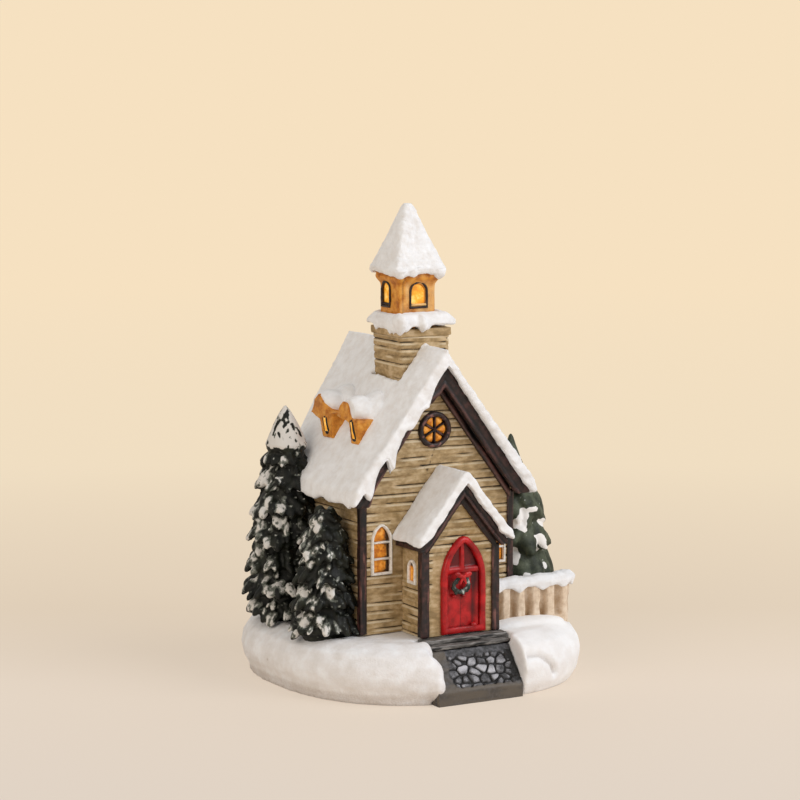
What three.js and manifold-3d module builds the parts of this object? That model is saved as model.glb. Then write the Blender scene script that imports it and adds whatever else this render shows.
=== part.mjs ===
// A small cast-resin church for a winter village, lit from inside by one LED.
// Millimetres, +Z up. The origin is on the table under the middle of the snow mound.
// The church door looks towards -Y.
import * as THREE from 'three';
import { mergeVertices } from 'three/addons/utils/BufferGeometryUtils.js';
import Module from 'manifold-3d';

const wasm = await Module();
wasm.setup();

// Driving dimensions, in millimetres and degrees

// Clearance between pieces that are set into or onto each other
const fitGap = 0.3;

// Snow mound
const baseWidth = 96;
const baseDepth = 100;
const baseHeight = 17;
// The path takes the foremost bit of the mound away, so the mound stands this far forward
const moundShiftY = -0.25;
const baseCornerPower = 2.4;
const bulgeHeight = 8;
const footInset = 2.6;
const shoulderInset = 2.6;
const shoulderDrop = 2.6;
const plateauInset = 8.5;
const seatDepth = 3.4;

// Stone path and steps
const pathWidth = 28;
const pathCentreX = -4.2;
const pathFrontInset = 1.6;
const kerbHeight = 4;
const rampTopDrop = 2.8;
const rampTopAhead = 6.2;
const stepWidth = 28.4;
const stepCentreX = -3;
const stepRise = 1.4;
const lowerStepAhead = 6;
const upperStepAhead = 4;

// Nave
const naveCentreX = -3.3;
const naveFrontInset = 28;
const naveWidth = 50.6;
const naveDepth = 38.5;
const wallHeight = 39.6;
const wallThickness = 2.6;
const roofPitch = 53.3;
const deckThickness = 2.4;
const eaveOverhang = 3.7;
const vergeOverhang = 4.5;
const rearOverhang = 2.7;
// The rear gable leans out: its boards, deck and snow end this much further back at the ridge
const rearLean = 7;
const bargeDepth = 4.1;
const bargeThickness = 1.8;
// Height of the upright end of a board or deck at the eaves; below it the end is cut level
const eaveCut = 1.2;
const postWidth = 2.2;
const postProud = 0.6;

// Snow on the roof
const roofSnowThickness = 2.7;
const roofSnowLip = 2.1;
const roofSnowLipDrop = 0.8;
const vergeSnowThickness = 1.6;
const roofSnowBump = 0.35;
// Snow banked up on the left of the tower, and thinner snow on the right slope
const bankHeight = 1.8;
const bankOut = 8.5;
const bankSpread = 4;
const rightSlopeThinner = 0.9;
// The snow thins towards the rear, and its end swells out behind the boards near the ridge
const rearThinner = 1.2;
const rearSwell = 2.9;
const rearSwellHalf = 20;

// Windows of the front wall
const roseOffsetX = -1.1;
const roseHeight = 58.3;
const roseDiameter = 11;
const roseRim = 1.1;
const roseProud = 1.1;
// Space between the porch's eave and the window beside it
const lancetGap = 0.25;
const lancetSill = 17.2;
const lancetWidth = 6.6;
const lancetHeight = 15.2;
// Where the pointed arch springs and where the two cross bars sit, as shares of the window's height
const lancetSpringShare = 0.6;
const lancetBarShares = [0.3, 0.64];
const lancetRim = 0.8;
const lancetProud = 0.7;
const muntinWidth = 0.6;
const glowSheetThickness = 0.8;
const glowSheetMargin = 1;

// Tower and belfry
const towerCentreX = -3.35;
const towerSetback = 15.2;
const towerWidth = 16.8;
const towerDepth = 16.4;
const towerWall = 3.1;
const towerAboveRidge = 6.6;
const corniceThickness = 2.4;
const corniceOverhang = 0.4;
const ledgeSnowHeight = 4.6;
const ledgeSnowRim = 0.9;
const ledgeSnowCorner = 1.6;
const ledgeSnowInset = 3.2;
const ledgeDrip = 2.2;
const belfryOffsetX = -1.15;
const belfryOffsetY = 0;
const belfryWidth = 12.5;
const belfryDepth = 11.9;
const belfryHeight = 15;
const belfryWall = 1.8;
const belfryFlare = 1.2;
const belfryFlareHeight = 2.4;
const belfryCorner = 1;
const linerThickness = 0.7;
const belfryWindowWidth = 4.6;
const belfryWindowHeight = 6.6;
const belfryWindowSill = 6.2;
const belfrySideWindowOffset = 1.6;
const capHeight = 20.9;
const capRim = 0.9;
const capDroop = 1.5;
const capWave = 0.25;
// The snow cap from its rim to its tip: a share of its height, a share of its width, a corner radius
const capLevels = [[0.12, 0.97, 1.6], [0.3, 0.78, 1.8], [0.55, 0.53, 1.6], [0.8, 0.3, 1.2]];
const capTip = [[0.95, 0.16, 0.8], [1, 0.07, 0.4]];

// Dormers on the left slope
const dormerSetbacks = [11.8, 29.6];
const dormerInset = 3.4;
const dormerBodyWidth = 6.6;
const dormerBodyHeight = 7.2;
const dormerWing = 2.4;
const dormerLip = 0.6;
const dormerGable = 4.6;
const dormerPeak = 0.7;
const dormerSink = 2;
const dormerLength = 9;
const dormerSnowThickness = 2.2;
const dormerSnowBack = 2.5;
const dormerWindowSill = 1.6;
const dormerWindowWidth = 2.4;
const dormerWindowHeight = 5;
const dormerPaneThickness = 1;
const dormerPaneSink = 0.2;

// Porch
const porchCentreX = -2.8;
// The porch's width as a share of the nave's
const porchShare = 0.49;
const porchDepth = 12;
const porchWallHeight = 26.7;
const porchWall = 2.2;
const porchPitch = 51;
const porchDeckThickness = 1.5;
const porchEaveOverhang = 2.3;
const porchVergeOverhang = 2.5;
const porchBargeDepth = 2.6;
const porchBargeThickness = 1.4;
const porchPostWidth = 2.6;
const porchPostProud = 0.7;
const porchSnowThickness = 1.9;
const porchSnowLip = 1.2;
const porchSnowLipDrop = 0.8;
const porchVergeSnow = 1.4;
const porchWindowY = -6.1;
const porchWindowSill = 15.4;
const porchWindowWidth = 3.6;
const porchWindowHeight = 6.2;
const porchPaneThickness = 1;

// Door
const doorOffsetX = 0.9;
const doorSill = 1;
const doorWidth = 14.4;
const doorHeight = 28;
const doorSpring = 18.6;
const doorRim = 1.5;
const doorProud = 1.5;
const doorLeafThickness = 1.6;
const doorLeafSink = 0.3;
const transomHeight = 17.4;
const doorBarWidth = 1;
const plankCount = 4;
const plankGroove = 0.3;

// Wreath
const wreathOffsetX = -1.4;
const wreathWidth = 5.4;
const wreathTube = 1.4;
const wreathHeight = 13.6;
const wreathSquash = 0.86;
const bowWidth = 3.2;
const bowHeight = 2.4;
const bowThickness = 0.9;

// Fence
const fenceAhead = 4.2;
const fenceThickness = 3;
const fenceStartX = 11.4;
const fenceEndX = 35;
const fenceTurnRadius = 6.5;
const fenceTurn = 62;
const fenceTop = 10;
const balusterPitch = 4.9;
const balusterRadius = 1.1;
const fenceSnowHeight = 3;
const fenceSnowOverhang = 0.6;
const fenceSnowDrip = 1.6;

// Trees: how far they stand out from the nave's side wall and back from its front wall, a tip height
// over the mound, and tiers of [height, radius] from the ground up
const treeLobes = 8;
const treeSides = 24;
const treeTipRadius = 0.7;
const trunkRadius = 5.5;
const lobeDepth = 0.09;
const lobeDroop = 0.4;
const tierUnderShare = 0.82;
const tierUnderDrop = 1.2;
// Above its edge a tier draws in: this share of the way up to the next it is still this wide,
// in shares of its own radius and the next one's
const tierWaistRise = 0.6;
const tierWaistOwn = 0.45;
const tierWaistNext = 0.35;
const tallTree = {
  side: -1, out: 5.9, back: 34.9, tip: 63.5, turn: 0.2,
  tiers: [[1.6, 12], [7.6, 13.6], [15.8, 12.5], [24.3, 12.2], [33, 11], [39.6, 9.7], [47.3, 7.5],
    [53.8, 6.5]],
};
const shortTree = {
  side: -1, out: 5.6, back: 8.6, tip: 37.8, turn: 0.55,
  tiers: [[1.2, 8.9], [8.8, 9], [16.2, 8.2], [23.2, 7.1], [29.6, 5.4]],
};
const rightTree = {
  side: 1, out: 7.8, back: 12.8, tip: 53.7, turn: 0.1,
  tiers: [[2, 12.4], [12, 13.4], [21, 12], [27.5, 10.6], [33.5, 8.2], [40, 6.2]],
};

// Light unit in the underside
const unitX = -3.3;
const unitY = 2;
const unitFloor = 0.6;
const trayLength = 42;
const trayWidth = 17;
const trayWall = 1.4;
const trayRoof = 1.2;
const cellDiameter = 11.6;
const cellThickness = 5.4;
const cellCount = 3;
const cellCapInset = 1.1;
const cellCapHeight = 0.7;
const contactThickness = 0.4;
const contactWidth = 7;
const springDepth = 3.6;
const lidThickness = 1.6;
const lidMargin = 1;
const lidTongue = 4.2;
const screwHeadDiameter = 3.4;
const screwHeadHeight = 0.7;
const screwShankDiameter = 1.8;
const screwReach = 2.4;
const screwHoleGap = 0.6;
const screwSlotWidth = 0.5;
const screwSlotDepth = 0.35;
const switchTravel = 2.4;
const switchKnob = 2.6;
const switchFlange = 1.2;
const switchFlangeHeight = 2.2;
const switchBay = 2;
const switchKnobRecess = 0.5;
const boardLength = 20;
const boardWidth = 12;
const boardThickness = 1;
const wellMargin = 1;
const ledDiameter = 5;
const ledHeight = 8.6;
const ledFlange = 0.45;
const ledFlangeHeight = 1;

// Values worked out from the driving dimensions

const naveFrontY = -baseDepth / 2 + naveFrontInset;
const porchFrontY = naveFrontY - porchDepth;
const rampTopY = porchFrontY - rampTopAhead;
const lowerStepFrontY = porchFrontY - lowerStepAhead;
const upperStepFrontY = porchFrontY - upperStepAhead;
const fenceFrontY = naveFrontY - fenceAhead;
const towerCentreY = naveFrontY + towerSetback;
const pitch = THREE.MathUtils.degToRad(roofPitch);
const deckRise = deckThickness / Math.cos(pitch);
const gapRise = fitGap / Math.cos(pitch);
const naveHalf = naveWidth / 2;
const eaveHalf = naveHalf + eaveOverhang;
const dormerFaceOut = naveHalf - dormerInset;
const deckApex = wallHeight + gapRise + Math.tan(pitch) * naveHalf + deckRise;
const towerTop = deckApex + towerAboveRidge;
const rearEnd = naveDepth + rearOverhang;
const leanStart = naveDepth - wallThickness * 3;
const towerFromNave = new THREE.Vector3(towerCentreX - naveCentreX, towerCentreY - naveFrontY, 0);
const porchSlope = THREE.MathUtils.degToRad(porchPitch);
const porchHalf = (naveWidth * porchShare) / 2;
const porchEaveHalf = porchHalf + porchEaveOverhang;
const porchFromNave = porchCentreX - naveCentreX;
const lancetOffsetX = porchEaveHalf + Math.abs(porchFromNave) + lancetGap + lancetWidth / 2;
const porchGapRise = fitGap / Math.cos(porchSlope);
const porchDeckRise = porchDeckThickness / Math.cos(porchSlope);
const porchDeckApex = porchWallHeight + porchGapRise + Math.tan(porchSlope) * porchHalf + porchDeckRise;
const cellStack = cellThickness * cellCount;
const bayLength = cellStack + springDepth + contactThickness;
const bayWidth = cellDiameter + 2 * fitGap;
const cellAxisZ = unitFloor + lidThickness + fitGap + cellDiameter / 2;
const bayTop = cellAxisZ + cellDiameter / 2 + fitGap;
const trayTop = bayTop + trayRoof;
const trayEndX = trayLength / 2;
const lidEndX = -trayEndX + trayWall + fitGap;
const bayEndX = lidEndX + lidMargin + lidThickness / 2;
const lidFreeX = bayEndX + bayLength + lidTongue;
const lidHalfWidth = bayWidth / 2 + lidMargin;
const screwX = bayEndX + bayLength + lidTongue / 2;
const lidEdge = lidThickness / 2;
const switchX = trayEndX - trayWall - switchBay - switchFlange - switchKnob / 2;

// Solid helpers

function toSolid(geometry) {
  const bare = geometry.clone();
  bare.deleteAttribute('normal');
  bare.deleteAttribute('uv');
  const merged = mergeVertices(bare);
  const positions = new Float32Array(merged.attributes.position.array);
  const triangles = new Uint32Array(merged.index.array);
  return new wasm.Manifold(new wasm.Mesh({ numProp: 3, vertProperties: positions, triVerts: triangles }));
}

function toGeometry(solid) {
  const mesh = solid.getMesh();
  const geometry = new THREE.BufferGeometry();
  geometry.setAttribute('position', new THREE.BufferAttribute(new Float32Array(mesh.vertProperties), 3));
  geometry.setIndex(new THREE.BufferAttribute(new Uint32Array(mesh.triVerts), 1));
  geometry.computeVertexNormals();
  return geometry;
}

function block(x0, x1, y0, y1, z0, z1) {
  const box = new THREE.BoxGeometry(x1 - x0, y1 - y0, z1 - z0);
  return toSolid(box.translate((x0 + x1) / 2, (y0 + y1) / 2, (z0 + z1) / 2));
}

function extrude(points, depth, basis, offset) {
  const shape = new THREE.Shape(points.map(([a, b]) => new THREE.Vector2(a, b)));
  const geometry = new THREE.ExtrudeGeometry(shape, { depth, bevelEnabled: false });
  geometry.applyMatrix4(basis);
  geometry.translate(offset.x, offset.y, offset.z);
  return toSolid(geometry);
}

const axisX = new THREE.Vector3(1, 0, 0);
const axisY = new THREE.Vector3(0, 1, 0);
const axisZ = new THREE.Vector3(0, 0, 1);

// A prism whose outline lies in the XZ plane, from y0 back to y1
function prismY(points, y0, y1) {
  const basis = new THREE.Matrix4().makeBasis(axisX, axisZ, axisY.clone().negate());
  return extrude(points, y1 - y0, basis, new THREE.Vector3(0, y1, 0));
}

// A prism whose outline lies in the YZ plane, from x0 to x1
function prismX(points, x0, x1) {
  const basis = new THREE.Matrix4().makeBasis(axisY, axisZ, axisX);
  return extrude(points, x1 - x0, basis, new THREE.Vector3(x0, 0, 0));
}

// A prism whose outline lies in the XY plane, from z0 up to z1
function prismZ(points, z0, z1) {
  return extrude(points, z1 - z0, new THREE.Matrix4(), new THREE.Vector3(0, 0, z0));
}

// A round bar standing upright from z0 to z1
function bar(radius, z0, z1, sides = 24) {
  const geometry = new THREE.CylinderGeometry(radius, radius, z1 - z0, sides);
  return toSolid(geometry.rotateX(Math.PI / 2).translate(0, 0, (z0 + z1) / 2));
}

function lathe(profile, sides = 24) {
  const points = profile.map(([radius, height]) => new THREE.Vector2(radius, height));
  return toSolid(new THREE.LatheGeometry(points, sides).rotateX(Math.PI / 2));
}

// A closed skin over rings of equal length; the two end rings are flat enough to cap.
// flat() gives the two coordinates in which a cap is filled.
function loft(rings, flat) {
  const count = rings[0].length;
  const points = rings.flat();
  const faces = [];
  for (let ring = 0; ring < rings.length - 1; ring += 1) {
    for (let i = 0; i < count; i += 1) {
      const a = ring * count + i;
      const b = ring * count + ((i + 1) % count);
      faces.push(a, b, b + count, a, b + count, a + count);
    }
  }
  const last = (rings.length - 1) * count;
  for (const [a, b, c] of THREE.ShapeUtils.triangulateShape(rings[0].map(flat), [])) {
    faces.push(...orient(rings[0].map(flat), [a, b, c], false));
  }
  for (const tri of THREE.ShapeUtils.triangulateShape(rings.at(-1).map(flat), [])) {
    faces.push(...orient(rings.at(-1).map(flat), tri, true).map((i) => i + last));
  }
  return closedSkin(points, faces);
}

// A cap triangle wound the same way as its ring, or the other way
function orient(outline, tri, sameWay) {
  const turn = THREE.ShapeUtils.area(tri.map((i) => outline[i])) * THREE.ShapeUtils.area(outline);
  return (turn > 0) === sameWay ? tri : [tri[0], tri[2], tri[1]];
}

function closedSkin(points, faces) {
  let volume = 0;
  for (let i = 0; i < faces.length; i += 3) {
    const [a, b, c] = [points[faces[i]], points[faces[i + 1]], points[faces[i + 2]]];
    volume += a.dot(b.clone().cross(c));
  }
  if (volume < 0) faces.reverse();
  const geometry = new THREE.BufferGeometry().setFromPoints(points);
  geometry.setIndex(faces);
  return toSolid(geometry);
}

const flatXY = (p) => new THREE.Vector2(p.x, p.y);
const flatXZ = (p) => new THREE.Vector2(p.x, p.z);
const flatYZ = (p) => new THREE.Vector2(p.y, p.z);

// Outlines

// A pointed window or door, standing on its sill, as points from the lower left round
function lancetOutline(width, height, spring, grow = 0, steps = 5) {
  const half = width / 2;
  const rise = height - spring;
  const radius = (half * half + rise * rise) / (2 * half);
  const sweep = Math.asin(Math.min(1, rise / radius));
  const right = [];
  for (let i = 0; i <= steps; i += 1) {
    const angle = (sweep * i) / steps;
    const reach = radius + grow;
    right.push([half - radius + reach * Math.cos(angle), spring + reach * Math.sin(angle)]);
  }
  right[steps][0] = 0;
  const left = right.slice(0, -1).reverse().map(([x, z]) => [-x, z]);
  return [[-half - grow, -grow], [half + grow, -grow], ...right, ...left];
}

function roundOutline(width, height, grow = 0, steps = 8) {
  const half = width / 2;
  const points = [[-half - grow, -grow], [half + grow, -grow]];
  for (let i = 0; i <= steps; i += 1) {
    const angle = (Math.PI * i) / steps;
    points.push([(half + grow) * Math.cos(angle), height - half + (half + grow) * Math.sin(angle)]);
  }
  return points;
}

function circleOutline(radius, sides = 24) {
  return Array.from({ length: sides }, (_, i) => {
    const angle = (2 * Math.PI * i) / sides;
    return [radius * Math.cos(angle), radius * Math.sin(angle)];
  });
}

const shift = (points, dx, dz) => points.map(([x, z]) => [x + dx, z + dz]);

// Snow mound

// One level of the mound: an oval with squared corners, inset from the widest level
function moundRing(inset, z, grow = 0) {
  const steps = 44;
  const power = 2 / baseCornerPower;
  return Array.from({ length: steps }, (_, i) => {
    const angle = (2 * Math.PI * i) / steps;
    const x = Math.sign(Math.cos(angle)) * Math.abs(Math.cos(angle)) ** power;
    const y = Math.sign(Math.sin(angle)) * Math.abs(Math.sin(angle)) ** power;
    return new THREE.Vector3(
      x * (baseWidth / 2 - inset + grow), y * (baseDepth / 2 - inset + grow) + moundShiftY, z + grow);
  });
}

function mound(grow = 0) {
  return loft([
    moundRing(footInset, 0, 0),
    moundRing(footInset / 3, bulgeHeight * 0.4, grow),
    moundRing(0, bulgeHeight, grow),
    moundRing(footInset / 4, (bulgeHeight + baseHeight - shoulderDrop) / 2, grow),
    moundRing(shoulderInset, baseHeight - shoulderDrop, grow),
    moundRing((shoulderInset + plateauInset) / 2, baseHeight - shoulderDrop * 0.35, grow),
    moundRing(plateauInset, baseHeight, grow),
  ], flatXY);
}

function snowBase() {
  const pathHalf = pathWidth / 2 + fitGap;
  const stepHalf = stepWidth / 2 + fitGap;
  const rampZ = baseHeight - rampTopDrop;
  const path = block(pathCentreX - pathHalf, pathCentreX + pathHalf,
    -baseDepth, porchFrontY + fitGap, -1, baseHeight + 1);
  const steps = block(stepCentreX - stepHalf, stepCentreX + stepHalf,
    lowerStepFrontY - fitGap, porchFrontY + fitGap, rampZ, baseHeight + 1);
  const pocket = block(unitX - trayEndX - fitGap, unitX + trayEndX + fitGap,
    unitY - trayWidth / 2 - fitGap, unitY + trayWidth / 2 + fitGap, -1, trayTop);
  const well = block(unitX - boardLength / 2 - wellMargin, unitX + boardLength / 2 + wellMargin,
    unitY - boardWidth / 2 - wellMargin, unitY + boardWidth / 2 + wellMargin, 0, baseHeight + 1);
  let solid = mound().subtract(path).subtract(steps).subtract(pocket).subtract(well);
  for (const spec of [tallTree, shortTree, rightTree]) {
    const { x, y } = treePlace(spec);
    const socket = bar(trunkRadius + fitGap, baseHeight - seatDepth, baseHeight + 1, 16);
    solid = solid.subtract(socket.translate(x, y, 0));
  }
  return solid.subtract(prismZ(fenceOutline(fitGap), baseHeight - seatDepth, baseHeight + 1));
}

function stonePath() {
  const front = -baseDepth / 2 + pathFrontInset;
  const top = baseHeight - rampTopDrop;
  const profile = [[front, 0], [porchFrontY, 0], [porchFrontY, top], [rampTopY, top], [front, kerbHeight]];
  return prismX(profile, pathCentreX - pathWidth / 2, pathCentreX + pathWidth / 2);
}

function step(frontY, bottomZ) {
  return block(stepCentreX - stepWidth / 2, stepCentreX + stepWidth / 2,
    frontY, porchFrontY, bottomZ, bottomZ + stepRise);
}

// Nave walls, in the frame of the front wall's foot

// Height of the space under the roof deck, at a distance from the ridge line
const underDeck = (dx) => deckApex - deckRise - gapRise - Math.tan(pitch) * Math.abs(dx);

function gableWall(y0) {
  const outline = [[-naveHalf, 0], [naveHalf, 0], [naveHalf, underDeck(naveHalf)],
    [0, underDeck(0)], [-naveHalf, underDeck(naveHalf)]];
  return prismY(outline, y0, y0 + wallThickness);
}

function frontWall() {
  let wall = gableWall(0);
  const hole = circleOutline(roseDiameter / 2 - roseRim);
  wall = wall.subtract(prismY(shift(hole, roseOffsetX, roseHeight), -1, wallThickness + 1));
  for (const side of [-1, 1]) {
    const opening = lancetOutline(lancetWidth - 2 * lancetRim, lancetHeight - 2 * lancetRim,
      lancetHeight * lancetSpringShare - lancetRim);
    const placed = shift(opening, side * lancetOffsetX, lancetSill + lancetRim);
    wall = wall.subtract(prismY(placed, -1, wallThickness + 1));
  }
  return wall;
}

function sideWall(side) {
  const inner = naveHalf - wallThickness;
  const outline = [[side * inner, 0], [side * naveHalf, 0],
    [side * naveHalf, underDeck(naveHalf)], [side * inner, underDeck(inner)]];
  return prismY(outline, wallThickness, naveDepth - wallThickness);
}

function cornerPost(side, front) {
  const outer = naveHalf + postProud;
  const inner = naveHalf - postWidth + postProud;
  const near = -postProud;
  const far = postWidth - postProud;
  const corner = [[outer, near], [outer, far], [naveHalf, far], [naveHalf, 0], [inner, 0], [inner, near]];
  const placed = corner.map(([x, y]) => [side * x, front ? y : naveDepth - y]);
  return prismZ(placed, 0, underDeck(outer));
}

// Roof

// The square light shaft that runs from the nave up into the belfry
function lightShaft(grow = 0) {
  const halfX = towerWidth / 2 - towerWall + grow;
  const halfY = towerDepth / 2 - towerWall + grow;
  return block(-halfX, halfX, -halfY, halfY, 0, towerTop + 1);
}

// One slope of a board or deck as an outline from the ridge down; its end is cut level below the eave
function slopeOutline(apex, half, slope, rise) {
  const eave = apex - Math.tan(slope) * half;
  const level = half - (rise - eaveCut) / Math.tan(slope);
  return [[0, apex], [half, eave], [half, eave - eaveCut], [level, eave - eaveCut], [0, apex - rise]];
}

// Moves the points of a solid in Y by an amount that depends on where they are
function moveY(solid, amount) {
  const geometry = toGeometry(solid);
  const place = geometry.attributes.position;
  for (let i = 0; i < place.count; i += 1) {
    place.setY(i, place.getY(i) + amount(place.getX(i), place.getY(i)));
  }
  return toSolid(geometry);
}

const leanOut = (x) => rearLean * Math.max(0, 1 - Math.abs(x) / eaveHalf);

// Points between the rear boards and the snow's end lean out fully, those before the wall not at all
function leanRear(solid) {
  const part = (y) => THREE.MathUtils.clamp((y - leanStart) / (rearEnd - bargeThickness - leanStart), 0, 1);
  return moveY(solid, (x, y) => leanOut(x) * part(y));
}

function roofDeck(side) {
  const outline = slopeOutline(deckApex, eaveHalf, pitch, deckRise).map(([x, z]) => [side * x, z]);
  const deck = prismY(outline, -vergeOverhang + bargeThickness, rearEnd - bargeThickness);
  return leanRear(deck).subtract(lightShaft().translate(towerFromNave.x, towerFromNave.y, 0));
}

// A pair of gable boards mitred at the ridge, as one chevron
function chevron(apex, half, slope, depth, y0, y1) {
  const right = slopeOutline(apex, half, slope, depth / Math.cos(slope));
  const left = right.slice(1, -1).map(([x, z]) => [-x, z]).reverse();
  return prismY([...right, ...left], y0, y1);
}

// The lobes of the snow that hangs over the gable boards: the part of the way down the slope, and how
// far the snow reaches down the board there. middle is how far it reaches down at the ridge.
const roofLobes = {
  middle: 1.6,
  left: [[0.06, 3.4], [0.16, 3.6], [0.21, 2.8], [0.32, 4.6], [0.42, 3.9], [0.47, 0.6],
    [0.6, 1.4], [0.68, 3.3], [0.76, 4], [0.81, 1.2], [0.93, 2.2]],
  right: [[0.1, 0.5], [0.3, 0.5], [0.4, 0.8], [0.46, 0.4], [0.56, 0.9], [0.66, 0.5],
    [0.75, 1.7], [0.82, 2.1], [0.87, 0.5], [0.94, 1.5]],
};
const porchLobes = {
  middle: 1,
  left: [[0.1, 1.2], [0.3, 1.6], [0.45, 1], [0.62, 1.7], [0.8, 1.2], [0.92, 1.9]],
  right: [[0.12, 0.6], [0.3, 1], [0.48, 1.7], [0.6, 0.5], [0.78, 0.8], [0.92, 1.4]],
};

// Snow that lies over a pitched roof: the upper edge of its cross-section, from the left lip over the ridge
function snowOver(roof, y) {
  const { apex, half, slope, thickness, lip, lipDrop, bump, extra } = roof;
  const rise = (thickness + fitGap) / Math.cos(slope);
  const parts = [0.06, 0.2, 0.3, 0.4, 0.6, 0.8, 0.97];
  const side = (sign) => {
    const points = parts.map((part) => {
      const x = part * (half + lip);
      const wave = bump * (Math.sin(0.31 * x + 0.23 * y) + Math.sin(0.17 * x - 0.41 * y + 1));
      return [sign * x, apex + rise - Math.tan(slope) * x + wave + extra(sign * x, y)];
    });
    const eave = apex - Math.tan(slope) * half - lipDrop + bump * 2 * Math.sin(0.55 * y);
    return [...points, [sign * (half + lip), eave + Math.max(1, lipDrop * 0.9)],
      [sign * (half + lip * 0.85), eave]];
  };
  return [...side(-1).reverse(), [0, apex + rise - thickness * 0.25], ...side(1)];
}

function snowBlanket(roof) {
  const stations = 12;
  const rings = [];
  for (let i = 0; i <= stations; i += 1) {
    const y = roof.y0 + ((roof.y1 - roof.y0) * i) / stations;
    const over = snowOver(roof, y);
    const eave = over.at(-1)[1];
    const x = roof.half + fitGap;
    const drop = Math.tan(roof.slope) * x - fitGap / Math.cos(roof.slope);
    const under = [[x, eave], [x, roof.apex - drop], [0, roof.apex + fitGap / Math.cos(roof.slope)],
      [-x, roof.apex - drop], [-x, eave]];
    rings.push([...over, ...under].map(([px, pz]) => new THREE.Vector3(px, y, pz)));
  }
  return loft(rings, flatXZ);
}

// The scalloped fringe of snow in front of a gable board
function snowFringe(roof, lobes, y0, y1) {
  const over = snowOver(roof, y0);
  const reach = (side, list) => list.map(([part, depth]) => {
    const x = part * roof.half - depth * Math.sin(roof.slope);
    return [side * x, roof.apex - Math.tan(roof.slope) * part * roof.half - depth * Math.cos(roof.slope)];
  });
  const under = [[roof.half + fitGap, over.at(-1)[1]], ...reach(1, lobes.right).reverse(),
    [0, roof.apex - lobes.middle], ...reach(-1, lobes.left), [-roof.half - fitGap, over[0][1]]];
  return prismY([...over, ...under], y0, y1);
}

const roofSnowShape = {
  apex: deckApex, half: eaveHalf, slope: pitch, thickness: roofSnowThickness,
  lip: roofSnowLip, lipDrop: roofSnowLipDrop, bump: roofSnowBump, extra: naveSnowExtra,
  y0: -vergeOverhang - fitGap - vergeSnowThickness,
  y1: rearEnd + fitGap + vergeSnowThickness,
};

// How much higher the nave's snow lies than an even blanket
function naveSnowExtra(x, y) {
  const along = (y - towerFromNave.y) / towerDepth;
  const thinner = rearThinner * THREE.MathUtils.clamp(along - 0.6, 0, 1);
  if (x > 0) return -rightSlopeThinner * Math.min(1, x / bankSpread) - thinner / 2;
  return bankHeight * Math.exp(-(((x + bankOut) / bankSpread) ** 2) - along ** 4) - thinner;
}

// Swells the rear end of the roof snow out behind the ridge
function swellRear(solid) {
  const swell = (x) => rearSwell * (1 - Math.min(1, Math.abs(x) / rearSwellHalf) ** 3);
  return moveY(solid, (x, y) => (y < roofSnowShape.y1 - fitGap ? 0 : swell(x)));
}

function roofSnow() {
  const { y0, y1 } = roofSnowShape;
  const front = snowFringe(roofSnowShape, roofLobes, y0, y0 + vergeSnowThickness);
  const rear = snowFringe(roofSnowShape, { ...roofLobes, left: roofLobes.right, right: roofLobes.left },
    y1 - vergeSnowThickness, y1);
  const blanket = snowBlanket(roofSnowShape).add(front).add(rear);
  const halfX = towerWidth / 2 + fitGap;
  const halfY = towerDepth / 2 + fitGap;
  const hole = block(-halfX, halfX, -halfY, halfY, 0, towerTop + 1);
  return leanRear(swellRear(blanket.subtract(hole.translate(towerFromNave.x, towerFromNave.y, 0))));
}

// Windows and their trim, in the frame of the wall's foot; the wall face is at y = 0

function ring(outer, inner, y0, y1) {
  return prismY(outer, y0, y1).subtract(prismY(inner, y0 - 1, y1 + 1));
}

function roseFrame() {
  const radius = roseDiameter / 2;
  let frame = ring(circleOutline(radius), circleOutline(radius - roseRim), -roseProud, 0);
  const spokes = 6;
  for (let i = 0; i < spokes / 2; i += 1) {
    const spoke = block(-radius + roseRim / 2, radius - roseRim / 2, -roseProud * 0.7, 0,
      -muntinWidth / 2, muntinWidth / 2);
    frame = frame.add(spoke.rotate(0, 90 + (360 / spokes) * i, 0));
  }
  return frame;
}

function lancetFrame() {
  const spring = lancetHeight * lancetSpringShare;
  const outer = lancetOutline(lancetWidth, lancetHeight, spring);
  const inner = shift(lancetOutline(lancetWidth - 2 * lancetRim, lancetHeight - 2 * lancetRim,
    spring - lancetRim), 0, lancetRim);
  let frame = ring(outer, inner, -lancetProud, 0);
  for (const share of lancetBarShares) {
    const z = lancetHeight * share;
    const muntin = block(-lancetWidth / 2 + lancetRim / 2, lancetWidth / 2 - lancetRim / 2,
      -lancetProud, 0, z - muntinWidth / 2, z + muntinWidth / 2);
    frame = frame.add(muntin);
  }
  return frame;
}

function glowSheet() {
  const half = naveHalf - wallThickness - fitGap;
  const low = lancetSill - glowSheetMargin;
  const shoulder = lancetSill + lancetHeight + glowSheetMargin;
  const top = roseHeight + roseDiameter / 2;
  const neck = (underDeck(0) - top) / Math.tan(pitch) - glowSheetMargin;
  const outline = [[-half, low], [half, low], [half, shoulder], [neck, top], [-neck, top], [-half, shoulder]];
  return prismY(outline, wallThickness, wallThickness + glowSheetThickness);
}

// Tower, in the frame of the tower's middle at the mound's top

function towerWalls() {
  const halfX = towerWidth / 2;
  const halfY = towerDepth / 2;
  const shell = block(-halfX, halfX, -halfY, halfY, deckApex / 2, towerTop).subtract(lightShaft());
  const apex = deckApex + gapRise;
  const side = apex - Math.tan(pitch) * towerWidth;
  const roof = prismY([[0, apex], [towerWidth, side], [towerWidth, 0], [-towerWidth, 0],
    [-towerWidth, side]], -towerDepth, towerDepth);
  return shell.subtract(roof.translate(-towerFromNave.x, 0, 0));
}

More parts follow.
